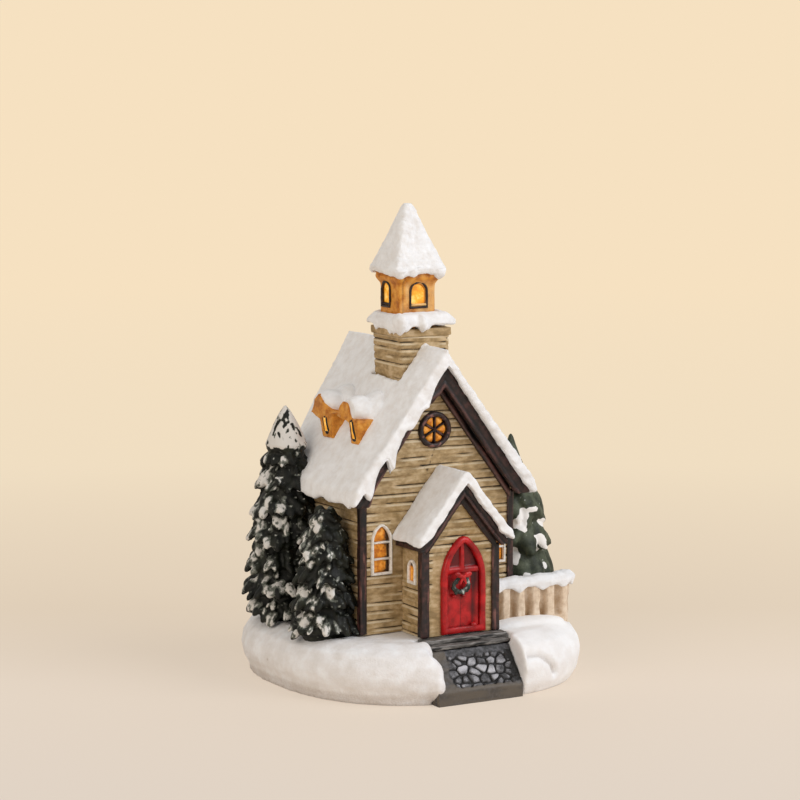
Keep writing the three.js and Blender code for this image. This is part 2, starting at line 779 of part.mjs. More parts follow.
function cornice() {
  const halfX = towerWidth / 2 + corniceOverhang;
  const halfY = towerDepth / 2 + corniceOverhang;
  const slab = block(-halfX, halfX, -halfY, halfY, towerTop, towerTop + corniceThickness);
  const innerX = belfryWidth / 2 - belfryWall;
  const innerY = belfryDepth / 2 - belfryWall;
  const hole = block(-innerX, innerX, -innerY, innerY, towerTop - 1, towerTop + corniceThickness + 1);
  return slab.subtract(hole.translate(belfryOffsetX, belfryOffsetY, 0));
}

// A square ring of points with rounded corners, whose height varies with the place
function squareRing(halfX, halfY, corner, height) {
  const points = [];
  const perSide = 6;
  const corners = [[1, -1], [1, 1], [-1, 1], [-1, -1]];
  corners.forEach(([sx, sy], quarter) => {
    const turn = (Math.PI / 2) * (quarter - 1);
    for (const part of [0, 0.5, 1]) {
      const angle = turn + (Math.PI / 2) * part;
      points.push([sx * (halfX - corner) + corner * Math.cos(angle),
        sy * (halfY - corner) + corner * Math.sin(angle)]);
    }
    const [nx, ny] = corners[(quarter + 1) % 4];
    const from = points.at(-1);
    const to = [nx * (halfX - corner) + corner * Math.cos(turn + Math.PI / 2),
      ny * (halfY - corner) + corner * Math.sin(turn + Math.PI / 2)];
    for (let i = 1; i < perSide; i += 1) {
      points.push([from[0] + ((to[0] - from[0]) * i) / perSide, from[1] + ((to[1] - from[1]) * i) / perSide]);
    }
  });
  return points.map(([x, y], i) => new THREE.Vector3(x, y, height(i)));
}

function ledgeSnow() {
  const seat = towerTop + corniceThickness;
  const halfX = towerWidth / 2 + corniceOverhang + fitGap + ledgeSnowRim;
  const halfY = towerDepth / 2 + corniceOverhang + fitGap + ledgeSnowRim;
  const drips = (i) => seat - fitGap - ledgeDrip * Math.max(0, Math.sin(1.4 * i + 0.6)) ** 2;
  const level = (inset, height) => squareRing(halfX - inset, halfY - inset, ledgeSnowCorner, height);
  const body = loft([
    level(ledgeSnowRim * 0.6, drips),
    level(0, (i) => drips(i) + ledgeSnowRim),
    level(0, (i) => seat + ledgeSnowHeight * 0.45 + fitGap * 0.6 * Math.sin(i)),
    level(ledgeSnowInset * 0.45, () => seat + ledgeSnowHeight * 0.85),
    level(ledgeSnowInset, () => seat + ledgeSnowHeight),
  ], flatXY);
  const ledgeX = towerWidth / 2 + corniceOverhang + fitGap;
  const ledgeY = towerDepth / 2 + corniceOverhang + fitGap;
  const ledge = block(-ledgeX, ledgeX, -ledgeY, ledgeY, seat - 3 * ledgeDrip, seat);
  const wallX = belfryWidth / 2 + fitGap;
  const wallY = belfryDepth / 2 + fitGap;
  const wall = block(-wallX, wallX, -wallY, wallY, seat - 1, seat + belfryHeight);
  return body.subtract(ledge).subtract(wall.translate(belfryOffsetX, belfryOffsetY, 0));
}

// Belfry, in a frame on top of the cornice

function belfryShell(halfX, halfY, corner, flare) {
  const flat = (z) => () => z;
  return loft([
    squareRing(halfX, halfY, corner, flat(0)),
    squareRing(halfX, halfY, corner, flat(belfryHeight - belfryFlareHeight)),
    squareRing(halfX + flare, halfY + flare, corner, flat(belfryHeight - belfryFlareHeight * 0.25)),
    squareRing(halfX + flare, halfY + flare, corner, flat(belfryHeight)),
  ], flatXY);
}

function belfryWindow(grow = 0) {
  return shift(roundOutline(belfryWindowWidth, belfryWindowHeight, grow), 0, belfryWindowSill);
}

function belfryWalls() {
  const halfX = belfryWidth / 2;
  const halfY = belfryDepth / 2;
  const inner = block(-halfX + belfryWall, halfX - belfryWall, -halfY + belfryWall, halfY - belfryWall,
    -1, belfryHeight + 1);
  const through = prismY(belfryWindow(), -belfryDepth, belfryDepth);
  const across = prismX(shift(belfryWindow(), belfrySideWindowOffset, 0), -belfryWidth, belfryWidth);
  return belfryShell(halfX, halfY, belfryCorner, belfryFlare)
    .subtract(inner).subtract(through).subtract(across);
}

function belfryLiner() {
  const halfX = belfryWidth / 2 - belfryWall;
  const halfY = belfryDepth / 2 - belfryWall;
  const outer = block(-halfX, halfX, -halfY, halfY, 0, belfryHeight);
  const inner = block(-halfX + linerThickness, halfX - linerThickness,
    -halfY + linerThickness, halfY - linerThickness, -1, belfryHeight + 1);
  return outer.subtract(inner);
}

function steepleSnow() {
  const halfX = belfryWidth / 2 + belfryFlare + fitGap + capRim;
  const halfY = belfryDepth / 2 + belfryFlare + fitGap + capRim;
  const rim = (i) => belfryHeight - capDroop * Math.max(0, Math.sin(1.1 * i + 2));
  const level = (wave) => ([part, shrink, corner]) => squareRing(halfX * shrink, halfY * shrink, corner,
    (i) => belfryHeight + capHeight * part + wave * Math.sin(2.3 * i));
  const body = loft([
    squareRing(halfX - capRim * 0.5, halfY - capRim * 0.5, 1.2, (i) => rim(i) - 0.2),
    squareRing(halfX, halfY, 1.4, (i) => rim(i) + capRim),
    ...capLevels.map(level(capWave)),
    ...capTip.map(level(0)),
  ], flatXY);
  const seatX = belfryWidth / 2 + belfryFlare + fitGap;
  const seatY = belfryDepth / 2 + belfryFlare + fitGap;
  return body.subtract(block(-seatX, seatX, -seatY, seatY, belfryHeight - 2 * capDroop - 2, belfryHeight));
}

// Dormers, in a frame at the foot of the face, looking along +X with the slope rising in -X

const dormerHalf = dormerBodyWidth / 2;

function dormerOutline() {
  const wing = dormerHalf + dormerWing;
  const right = [[dormerHalf, -dormerSink], [dormerHalf, dormerBodyHeight - dormerLip],
    [wing, dormerBodyHeight - dormerLip * 0.6], [wing - dormerLip, dormerBodyHeight + dormerLip * 1.6],
    [dormerPeak, dormerBodyHeight + dormerGable]];
  return [...right, ...right.map(([y, z]) => [-y, z]).reverse()];
}

// Everything under the roof snow's upper side at the dormer, as one block to cut with
function underRoofSnow() {
  const far = eaveHalf;
  const rise = deckApex + (roofSnowThickness + 2 * fitGap) / Math.cos(pitch) + 2 * roofSnowBump;
  const bankEnd = bankOut + 1.5 * bankSpread;
  const profile = [[-far, rise - Math.tan(pitch) * far], [-bankEnd, rise - Math.tan(pitch) * bankEnd],
    [-bankOut, rise - Math.tan(pitch) * bankOut + bankHeight], [0, rise + bankHeight], [0, 0], [-far, 0]];
  const solid = prismY(profile, -dormerBodyWidth * 2, dormerBodyWidth * 2);
  return solid.translate(dormerFaceOut, 0, -dormerFootZ);
}

const dormerFootZ = deckApex + (roofSnowThickness + fitGap) / Math.cos(pitch)
  - Math.tan(pitch) * dormerFaceOut;

function dormerWindow(grow = 0) {
  return shift(roundOutline(dormerWindowWidth, dormerWindowHeight, grow), 0, dormerWindowSill);
}

function dormerBody() {
  const pocket = prismX(dormerWindow(fitGap), -1, dormerPaneThickness);
  return prismX(dormerOutline(), 0, dormerLength).subtract(pocket).subtract(underRoofSnow());
}

function dormerPane() {
  return prismX(dormerWindow(), dormerPaneSink, dormerPaneThickness);
}

// The snow lies thicker on the dormer's left wing; its outline is in shares of its thickness
function dormerSnow() {
  const wing = dormerHalf + dormerWing;
  const body = dormerBodyHeight;
  const top = dormerBodyHeight + dormerGable;
  const t = dormerSnowThickness;
  const under = [[-wing - 0.18 * t, body + 0.27 * t], [-wing + 0.1 * t, body + 0.64 * t],
    [-dormerPeak, top + 0.25 * t], [dormerPeak, top + 0.25 * t], [dormerHalf, body + 1.55 * t]];
  const over = [[dormerHalf + 0.2 * t, body + 2 * t], [0.9 * t, top + 0.8 * t], [0, top + t],
    [-1.1 * t, top + 0.75 * t], [-wing + 0.27 * t, body + 1.73 * t], [-wing - 0.45 * t, body + 0.73 * t]];
  const solid = prismX([...under, ...over], dormerLip, dormerLength + dormerSnowBack);
  return solid.subtract(underRoofSnow());
}

// Porch, in the frame of its foot on the nave's front wall; it stands out towards -Y

const underPorchDeck = (dx) => porchDeckApex - porchDeckRise - porchGapRise
  - Math.tan(porchSlope) * Math.abs(dx);

function porchShell() {
  const outer = [[-porchHalf, 0], [porchHalf, 0], [porchHalf, underPorchDeck(porchHalf)],
    [0, underPorchDeck(0)], [-porchHalf, underPorchDeck(porchHalf)]];
  const room = block(-porchHalf + porchWall, porchHalf - porchWall, -porchDepth + porchWall, 1,
    -1, underPorchDeck(0) + 1);
  const opening = shift(lancetOutline(doorWidth - 2 * doorRim, doorHeight - doorRim, doorSpring),
    doorOffsetX, doorSill);
  const window = shift(roundOutline(porchWindowWidth, porchWindowHeight, fitGap),
    porchWindowY, porchWindowSill);
  return prismY(outer, -porchDepth, 0).subtract(room)
    .subtract(prismY(opening, -porchDepth - 1, -porchDepth + porchWall + 1))
    .subtract(prismX(window, -porchHalf - 1, -porchHalf + porchPaneThickness));
}

function porchPane() {
  const outline = shift(roundOutline(porchWindowWidth, porchWindowHeight), porchWindowY, porchWindowSill);
  return prismX(outline, -porchHalf, -porchHalf + porchPaneThickness);
}

function porchPost(side) {
  const outer = porchHalf + porchPostProud;
  const inner = outer - porchPostWidth;
  const near = -porchDepth - porchPostProud;
  const far = near + porchPostWidth;
  const corner = [[outer, near], [outer, far], [porchHalf, far], [porchHalf, -porchDepth],
    [inner, -porchDepth], [inner, near]];
  return prismZ(corner.map(([x, y]) => [side * x, y]), 0, underPorchDeck(outer));
}

function porchRoofDeck() {
  const front = -porchDepth - porchVergeOverhang + porchBargeThickness;
  return chevron(porchDeckApex, porchEaveHalf, porchSlope, porchDeckThickness, front, 0);
}

function porchBarge() {
  const front = -porchDepth - porchVergeOverhang;
  return chevron(porchDeckApex, porchEaveHalf, porchSlope, porchBargeDepth,
    front, front + porchBargeThickness);
}

function porchSnow() {
  const y0 = -porchDepth - porchVergeOverhang - fitGap - porchVergeSnow;
  const roof = { apex: porchDeckApex, half: porchEaveHalf, slope: porchSlope, thickness: porchSnowThickness,
    lip: porchSnowLip, lipDrop: porchSnowLipDrop, bump: roofSnowBump / 2,
    extra: () => 0, y0, y1: 0 };
  let snow = snowBlanket(roof).add(snowFringe(roof, porchLobes, y0, y0 + porchVergeSnow));
  for (const side of [-1, 1]) {
    const x = side * lancetOffsetX - porchFromNave;
    const half = lancetWidth / 2 + fitGap;
    snow = snow.subtract(block(x - half, x + half, -lancetProud - fitGap, 1,
      lancetSill - fitGap, lancetSill + lancetHeight + fitGap));
  }
  return snow;
}

// Door, in the frame of its sill on the porch's front face

function doorFrame() {
  const outer = lancetOutline(doorWidth, doorHeight, doorSpring);
  const inner = lancetOutline(doorWidth - 2 * doorRim, doorHeight - doorRim, doorSpring);
  return ring(outer, shift(inner, 0, -0.01), -doorProud, 0);
}

function doorLeaf() {
  const width = doorWidth - 2 * doorRim - 2 * fitGap;
  const height = doorHeight - doorRim - fitGap;
  const outline = lancetOutline(width, height, doorSpring);
  let leaf = prismY(outline, -doorLeafSink, -doorLeafSink + doorLeafThickness);
  const face = -doorLeafSink;
  const barFront = face - doorProud * 0.5;
  leaf = leaf.add(block(-width / 2 + 0.2, width / 2 - 0.2, barFront, face + 0.2,
    transomHeight, transomHeight + doorBarWidth));
  leaf = leaf.add(block(-doorBarWidth / 2, doorBarWidth / 2, barFront, face + 0.2,
    transomHeight, height - doorRim));
  for (let i = 1; i < plankCount; i += 1) {
    const x = -width / 2 + (width * i) / plankCount;
    leaf = leaf.subtract(block(x - plankGroove / 2, x + plankGroove / 2, face - 0.01, face + plankGroove,
      0.6, transomHeight - 0.6));
  }
  return leaf;
}

function wreath() {
  const tube = wreathTube / 2;
  const torus = new THREE.TorusGeometry(wreathWidth / 2 - tube, tube, 8, 20);
  return toSolid(torus.rotateX(Math.PI / 2).scale(1, 1, wreathSquash));
}

function bow() {
  const w = bowWidth / 2;
  const h = bowHeight / 2;
  const outline = [[0.35, 0.3], [w, h], [w, -h * 0.5], [0.5, -0.4], [0.9, -h * 1.8], [0, -0.9],
    [-0.9, -h * 1.8], [-0.5, -0.4], [-w, -h * 0.5], [-w, h], [-0.35, 0.3]];
  return prismY(outline, -bowThickness, 0);
}

// Fence

// The turning end of the fence's line in plan, offset to one side
function fenceLine(offset, steps = 7) {
  const centreY = fenceFrontY + fenceTurnRadius + fenceThickness / 2;
  const points = [];
  for (let i = 0; i <= steps; i += 1) {
    const angle = THREE.MathUtils.degToRad(-90 + (fenceTurn * i) / steps);
    const radius = fenceTurnRadius + offset;
    points.push([fenceEndX + radius * Math.cos(angle), centreY + radius * Math.sin(angle)]);
  }
  return points;
}

function fenceOutline(grow = 0) {
  const half = fenceThickness / 2 + grow;
  const start = fenceStartX - grow;
  const front = fenceLine(half);
  const back = fenceLine(-half).reverse();
  return [[start, front[0][1]], ...front, ...back, [start, back.at(-1)[1]]];
}

function balusterPlaces() {
  const length = fenceEndX - fenceStartX - balusterRadius;
  const count = Math.max(1, Math.floor(length / balusterPitch));
  return Array.from({ length: count + 1 }, (_, i) => fenceStartX + balusterRadius + (length * i) / count);
}

function fencePanel() {
  const bottom = baseHeight - seatDepth;
  const top = baseHeight + fenceTop;
  let panel = prismZ(fenceOutline(), bottom, top);
  for (const x of balusterPlaces()) {
    const baluster = bar(balusterRadius, baseHeight + 0.5, top, 10);
    panel = panel.add(baluster.translate(x, fenceFrontY, 0));
  }
  return panel;
}

function fenceSnow() {
  const seat = baseHeight + fenceTop;
  const back = fenceThickness / 2 + fenceSnowOverhang;
  const front = back + balusterRadius;
  const middle = fenceLine(0);
  const stations = 9;
  const straight = Array.from({ length: stations }, (_, i) => [
    fenceStartX + ((middle[0][0] - fenceStartX) * i) / stations, middle[0][1]]);
  const line = [...straight, ...middle];
  const rings = line.map(([x, y], i) => {
    const ahead = line[Math.min(i + 1, line.length - 1)];
    const behind = line[Math.max(i - 1, 0)];
    const along = new THREE.Vector2(ahead[0] - behind[0], ahead[1] - behind[1]).normalize();
    const out = new THREE.Vector2(along.y, -along.x);
    const wave = Math.sin(1.9 * i + 0.4);
    const section = [[front, -fenceSnowDrip * Math.max(0, wave)], [front + fitGap, 1.2],
      [front * 0.6, fenceSnowHeight * 0.9], [0, fenceSnowHeight + 0.3 * wave],
      [-back * 0.7, fenceSnowHeight * 0.8], [-back, 0.9], [-back, 0]];
    return section.map(([side, z]) => new THREE.Vector3(x + out.x * side, y + out.y * side, seat + z));
  });
  let solid = loft(rings, flatYZ).subtract(prismZ(fenceOutline(fitGap), baseHeight, seat));
  for (const x of balusterPlaces()) {
    const room = bar(balusterRadius + fitGap, baseHeight, seat, 10);
    solid = solid.subtract(room.translate(x, fenceFrontY, 0));
  }
  return solid;
}

// Trees

// The space of the nave, its roof and its snow, which the trees are cut back from
function houseSpace() {
  const wall = naveHalf + postProud + fitGap;
  const lip = eaveHalf + roofSnowLip + 2 * fitGap;
  const eave = deckApex - Math.tan(pitch) * eaveHalf;
  const low = eave - roofSnowLipDrop - 4 * roofSnowBump;
  const rise = (roofSnowThickness + 2 * fitGap) / Math.cos(pitch) + 3 * roofSnowBump;
  const top = deckApex + rise;
  const outline = [[-wall, -1], [wall, -1], [wall, low], [lip, low], [lip, top - Math.tan(pitch) * lip],
    [0, top], [-lip, top - Math.tan(pitch) * lip], [-lip, low], [-wall, low]];
  const front = roofSnowShape.y0 - fitGap;
  const space = prismY(outline, front, roofSnowShape.y1 + fitGap);
  const forecourt = block(-eaveHalf * 2, eaveHalf * 2, front - 1, -postProud - fitGap, -2, low - fitGap);
  return space.subtract(forecourt);
}

// A stack of scalloped tiers, each spreading out below and drawing in towards the next
function foliage({ tip, turn, tiers }, grow = 0) {
  const level = (radius, z, depth, phase) => Array.from({ length: treeSides }, (_, i) => {
    const angle = (2 * Math.PI * i) / treeSides;
    const wave = Math.cos(treeLobes * angle + phase);
    const r = radius * (1 - depth + depth * wave) + grow;
    const droop = depth < lobeDepth ? 0 : lobeDroop * Math.max(0, wave);
    return new THREE.Vector3(r * Math.cos(angle), r * Math.sin(angle), z - droop);
  });
  const rings = [];
  tiers.forEach(([z, radius], index) => {
    const next = tiers[index + 1] ?? [tip, treeTipRadius * 2];
    const phase = turn * 10 + index * Math.PI;
    rings.push(level(radius * tierUnderShare, z - tierUnderDrop, lobeDepth / 3, phase));
    rings.push(level(radius, z, lobeDepth, phase));
    const waist = radius * tierWaistOwn + next[1] * tierWaistNext;
    rings.push(level(waist, z + (next[0] - z) * tierWaistRise, lobeDepth / 2, phase));
  });
  rings.push(level(treeTipRadius, tip + grow, 0, 0));
  return loft(rings, flatXY);
}

function treePlace({ side, out, back }) {
  return { x: naveCentreX + side * (naveHalf + out), y: naveFrontY + back };
}

function tree(spec) {
  const { x, y } = treePlace(spec);
  const trunk = bar(trunkRadius, -seatDepth, spec.tiers[0][0] + 1, 16);
  const ground = mound(fitGap).translate(-x, -y, -baseHeight);
  const house = houseSpace().translate(naveCentreX - x, naveFrontY - y, 0);
  return foliage(spec).subtract(ground).add(trunk).subtract(house);
}

// The tall tree is cut back from the short one in front of it
function tallTreeBody() {
  const near = treePlace(shortTree);
  const far = treePlace(tallTree);
  const neighbour = foliage(shortTree, fitGap).translate(near.x - far.x, near.y - far.y, 0);
  return tree(tallTree).subtract(neighbour);
}

// Light unit, in a frame on the table under the middle of the tray

function batteryTray() {
  const bay = block(bayEndX, bayEndX + bayLength, -bayWidth / 2, bayWidth / 2, 0, bayTop);
  const lidSeat = block(lidEndX - fitGap, lidFreeX + fitGap, -lidHalfWidth - fitGap, lidHalfWidth + fitGap,
    0, unitFloor + lidThickness);
  const screwHole = bar(screwShankDiameter / 2 + screwHoleGap, 0,
    unitFloor + lidThickness + screwReach + 2 * fitGap, 16).translate(screwX, 0, 0);
  const slotHalf = switchKnob / 2 + fitGap;
  const slot = block(switchX - slotHalf, switchX + slotHalf + switchTravel, -slotHalf, slotHalf, 0, trayTop);
  const roomHalf = slotHalf + switchFlange;
  const room = block(switchX - roomHalf, switchX + roomHalf + switchTravel, -roomHalf, roomHalf,
    unitFloor + lidThickness, trayTop + 1);
  return block(-trayEndX, trayEndX, -trayWidth / 2, trayWidth / 2, unitFloor, trayTop)
    .subtract(bay).subtract(lidSeat).subtract(screwHole).subtract(slot).subtract(room);
}

// The lid is a plate with a round edge at its hinge end
function batteryLid() {
  const edge = circleOutline(lidEdge, 16).filter(([x]) => x <= 1e-9);
  const hingeX = lidEndX + lidEdge;
  const outline = [...edge.map(([x, z]) => [hingeX + x, unitFloor + lidEdge + z]),
    [lidFreeX, unitFloor], [lidFreeX, unitFloor + lidThickness]];
  const plate = prismY(outline, -lidHalfWidth, lidHalfWidth);
  const sink = bar(screwHeadDiameter / 2 + fitGap, 0, unitFloor + screwHeadHeight, 20);
  const hole = bar(screwShankDiameter / 2 + fitGap, 0, unitFloor + lidThickness + 1, 16);
  return plate.subtract(sink.translate(screwX, 0, 0)).subtract(hole.translate(screwX, 0, 0));
}

function lidScrew() {
  const head = screwHeadDiameter / 2;
  const shank = screwShankDiameter / 2;
  const top = unitFloor + lidThickness + screwReach;
  const body = lathe([[0, unitFloor], [head, unitFloor], [head, unitFloor + screwHeadHeight],
    [shank, unitFloor + screwHeadHeight], [shank, top - 0.6], [shank * 0.5, top], [0, top]], 16);
  const slot = block(-head - 1, head + 1, -screwSlotWidth / 2, screwSlotWidth / 2,
    0, unitFloor + screwSlotDepth);
  return body.subtract(slot);
}

function buttonCell() {
  const radius = cellDiameter / 2;
  const shoulder = cellThickness - cellCapHeight;
  return lathe([[0, 0], [radius, 0], [radius, shoulder], [radius - cellCapInset, shoulder],
    [radius - cellCapInset, cellThickness], [0, cellThickness]], 24).rotate(0, 90, 0);
}

// A strip bent into a hook that presses on the end of the stack
function contactSpring() {
  const t = contactThickness;
  const high = contactWidth / 2;
  const nose = high * 0.35;
  const outline = [[0, -high], [t, -high], [t, high - 5 * t], [springDepth - t, nose - 2 * t],
    [springDepth - t, -nose], [springDepth, -nose], [springDepth, nose], [t, high - 2 * t], [0, high]];
  return prismY(outline, -contactWidth / 2, contactWidth / 2);
}

function contactPlate() {
  return block(0, contactThickness, -contactWidth / 2, contactWidth / 2, -contactWidth / 2, contactWidth / 2);
}

function switchSlider() {
  const knobHalf = switchKnob / 2;
  const flangeHalf = knobHalf + switchFlange;
  const seat = unitFloor + lidThickness + fitGap;
  const knob = block(-knobHalf, knobHalf, -knobHalf, knobHalf, switchKnobRecess, seat + 0.5);
  return knob.add(block(-flangeHalf, flangeHalf, -flangeHalf, flangeHalf, seat, seat + switchFlangeHeight));
}

function ledBoard() {
  return block(-boardLength / 2, boardLength / 2, -boardWidth / 2, boardWidth / 2, 0, boardThickness);
}

function led() {
  const radius = ledDiameter / 2;
  const dome = [[0, 0], [radius + ledFlange, 0], [radius + ledFlange, ledFlangeHeight],
    [radius, ledFlangeHeight]];
  const steps = 4;
  for (let i = 0; i <= steps; i += 1) {
    const angle = ((Math.PI / 2) * i) / steps;
    dome.push([radius * Math.cos(angle), ledHeight - radius + radius * Math.sin(angle)]);
  }
  dome[dome.length - 1][0] = 0;
  return lathe(dome, 16);
}

// Materials

function paint(color, roughness, metalness = 0) {
  return new THREE.MeshStandardMaterial({ color, roughness, metalness });
}

const snowWhite = paint(0xf1efe9, 0.85);
const siding = paint(0xa39878, 0.75);
const darkWood = paint(0x35211f, 0.5);
const ochre = paint(0xcf8e38, 0.6);
const darkStone = paint(0x4a4a4c, 0.7);
const doorRed = paint(0xa81222, 0.3);
const amber = paint(0xf0a11e, 0.35);
const windowWhite = paint(0xeeeae0, 0.6);
const treeGreen = paint(0x1c2620, 0.55);
const sageGreen = paint(0x55614d, 0.65);
const fenceBeige = paint(0xc2ad8c, 0.7);
const blackPlastic = paint(0x1b1b1d, 0.55);
const steel = paint(0xb9bcc0, 0.3, 1);
const brass = paint(0xc9a24d, 0.35, 1);
const boardGreen = paint(0x1f5a35, 0.5);

// The assembly

const church = new THREE.Group();

function add(group, name, solid, material, x = 0, y = 0, z = 0) {
  const mesh = new THREE.Mesh(toGeometry(solid), material);
  mesh.name = name;
  mesh.position.set(x, y, z);
  group.add(mesh);
  return mesh;
}

function subGroup(parent, x, y, z) {
  const group = new THREE.Group();
  group.position.set(x, y, z);
  parent.add(group);
  return group;
}

function addGround() {
  const rampZ = baseHeight - rampTopDrop;
  add(church, 'snow_base', snowBase(), snowWhite);
  add(church, 'stone_path', stonePath(), darkStone);
  add(church, 'lower_step', step(lowerStepFrontY, rampZ), darkStone);
  add(church, 'upper_step', step(upperStepFrontY, rampZ + stepRise), darkStone);
}

function addNave() {
  const nave = subGroup(church, naveCentreX, naveFrontY, baseHeight);
  add(nave, 'front_wall', frontWall(), siding);
  add(nave, 'rear_wall', gableWall(naveDepth - wallThickness), siding);
  add(nave, 'left_wall', sideWall(-1), siding);
  add(nave, 'right_wall', sideWall(1), siding);
  for (const [side, word] of [[-1, 'left'], [1, 'right']]) {
    add(nave, `front_${word}_post`, cornerPost(side, true), darkWood);
    add(nave, `rear_${word}_post`, cornerPost(side, false), darkWood);
    add(nave, `roof_deck_${word}`, roofDeck(side), darkWood);
    const window = add(nave, `${word}_window_frame`, lancetFrame(), windowWhite);
    window.position.set(side * lancetOffsetX, 0, lancetSill);
  }
  add(nave, 'front_bargeboard', chevron(deckApex, eaveHalf, pitch, bargeDepth,
    -vergeOverhang, -vergeOverhang + bargeThickness), darkWood);
  const rearBoard = chevron(deckApex, eaveHalf, pitch, bargeDepth, rearEnd - bargeThickness, rearEnd);
  add(nave, 'rear_bargeboard', leanRear(rearBoard), darkWood);
  add(nave, 'roof_snow', roofSnow(), snowWhite);
  add(nave, 'rose_window_frame', roseFrame(), darkWood, roseOffsetX, 0, roseHeight);
  add(nave, 'front_glow_sheet', glowSheet(), amber);
  addDormers(nave);
}

function addDormers(nave) {
  dormerSetbacks.forEach((setback, index) => {
    const word = ['near', 'far'][index];
    const dormer = subGroup(nave, -dormerFaceOut, setback, dormerFootZ);
    add(dormer, `${word}_dormer`, dormerBody(), ochre);
    add(dormer, `${word}_dormer_pane`, dormerPane(), amber);
    add(dormer, `${word}_dormer_snow`, dormerSnow(), snowWhite);
  });
}

function addTower() {
  const tower = subGroup(church, towerCentreX, towerCentreY, baseHeight);
  add(tower, 'tower_walls', towerWalls(), siding);
  add(tower, 'tower_cornice', cornice(), siding);
  add(tower, 'ledge_snow', ledgeSnow(), snowWhite);
  const belfry = subGroup(tower, belfryOffsetX, belfryOffsetY, towerTop + corniceThickness);
  add(belfry, 'belfry_walls', belfryWalls(), ochre);
  add(belfry, 'belfry_glow_liner', belfryLiner(), amber);
  add(belfry, 'steeple_snow', steepleSnow(), snowWhite);
}

function addPorch() {
  const porch = subGroup(church, porchCentreX, naveFrontY, baseHeight);
  add(porch, 'porch_shell', porchShell(), siding);
  add(porch, 'porch_window_pane', porchPane(), amber);
  add(porch, 'porch_left_post', porchPost(-1), darkWood);
  add(porch, 'porch_right_post', porchPost(1), darkWood);
  add(porch, 'porch_roof_deck', porchRoofDeck(), darkWood);
  add(porch, 'porch_bargeboard', porchBarge(), darkWood);
  add(porch, 'porch_snow', porchSnow(), snowWhite);
  const door = subGroup(porch, doorOffsetX, -porchDepth, doorSill);
  add(door, 'door_frame', doorFrame(), doorRed);
  add(door, 'door_leaf', doorLeaf(), doorRed);
  const wreathBack = -doorLeafSink - fitGap;
  add(door, 'wreath', wreath(), treeGreen, wreathOffsetX, wreathBack - wreathTube / 2, wreathHeight);
  add(door, 'wreath_bow', bow(), doorRed, wreathOffsetX, wreathBack - wreathTube - fitGap,
    wreathHeight + (wreathWidth / 2) * wreathSquash);
}

function addTree(name, spec, solid, material) {
  const { x, y } = treePlace(spec);
  add(church, name, solid, material, x, y, baseHeight);
}

function addYard() {
  add(church, 'fence_panel', fencePanel(), fenceBeige);
  add(church, 'fence_snow', fenceSnow(), snowWhite);
  addTree('tall_tree', tallTree, tallTreeBody(), treeGreen);
  addTree('short_tree', shortTree, tree(shortTree), treeGreen);
  addTree('right_tree', rightTree, tree(rightTree), sageGreen);
}

function addLightUnit() {
  const unit = subGroup(church, unitX, unitY, 0);
  add(unit, 'battery_tray', batteryTray(), blackPlastic);
  add(unit, 'battery_lid', batteryLid(), blackPlastic);
  add(unit, 'lid_screw', lidScrew(), steel, screwX, 0, 0);
  for (let i = 0; i < cellCount; i += 1) {
    const x = bayEndX + springDepth + cellThickness * i;
    add(unit, `button_cell_${i + 1}`, buttonCell(), steel, x, 0, cellAxisZ);
  }
  add(unit, 'contact_spring', contactSpring(), brass, bayEndX, 0, cellAxisZ);
  add(unit, 'contact_plate', contactPlate(), brass, bayEndX + bayLength - contactThickness, 0, cellAxisZ);
  add(unit, 'switch_slider', switchSlider(), blackPlastic, switchX, 0, 0);
  add(unit, 'led_board', ledBoard(), boardGreen, 0, 0, trayTop);
  add(unit, 'led', led(), amber, 0, 0, trayTop + boardThickness);
}

addGround();
addNave();
addTower();
addPorch();
addYard();
addLightUnit();

export default church;
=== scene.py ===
import itertools
from math import asin, cos, pi, radians, sin, tan

import bmesh
import bpy
import numpy as np
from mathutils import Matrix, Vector


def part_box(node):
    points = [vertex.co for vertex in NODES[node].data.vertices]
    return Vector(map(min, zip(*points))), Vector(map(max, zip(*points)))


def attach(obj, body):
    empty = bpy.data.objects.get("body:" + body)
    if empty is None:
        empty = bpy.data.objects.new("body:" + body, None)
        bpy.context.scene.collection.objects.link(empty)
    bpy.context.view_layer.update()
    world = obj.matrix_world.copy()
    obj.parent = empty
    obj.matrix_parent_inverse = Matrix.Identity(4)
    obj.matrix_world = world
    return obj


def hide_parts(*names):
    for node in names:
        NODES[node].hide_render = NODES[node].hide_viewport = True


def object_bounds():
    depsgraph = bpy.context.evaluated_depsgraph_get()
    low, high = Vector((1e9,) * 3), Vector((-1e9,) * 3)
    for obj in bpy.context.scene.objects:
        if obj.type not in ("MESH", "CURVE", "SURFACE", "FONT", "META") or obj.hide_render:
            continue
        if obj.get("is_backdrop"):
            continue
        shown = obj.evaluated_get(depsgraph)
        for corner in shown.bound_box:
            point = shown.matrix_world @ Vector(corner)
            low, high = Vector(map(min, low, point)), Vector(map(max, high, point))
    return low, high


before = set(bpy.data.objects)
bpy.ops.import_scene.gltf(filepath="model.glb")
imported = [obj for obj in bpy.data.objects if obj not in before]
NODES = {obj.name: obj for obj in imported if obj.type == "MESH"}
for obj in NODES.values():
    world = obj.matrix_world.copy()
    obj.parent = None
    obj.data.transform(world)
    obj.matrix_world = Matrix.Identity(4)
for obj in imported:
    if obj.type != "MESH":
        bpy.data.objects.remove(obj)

# Lengths are in millimetres until a mesh is made; Blender's are in metres
MM = 0.001
cad_low, cad_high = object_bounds()
CAD_LOW = np.array(cad_low) / MM
CAD_HIGH = np.array(cad_high) / MM
random = np.random.default_rng(7)

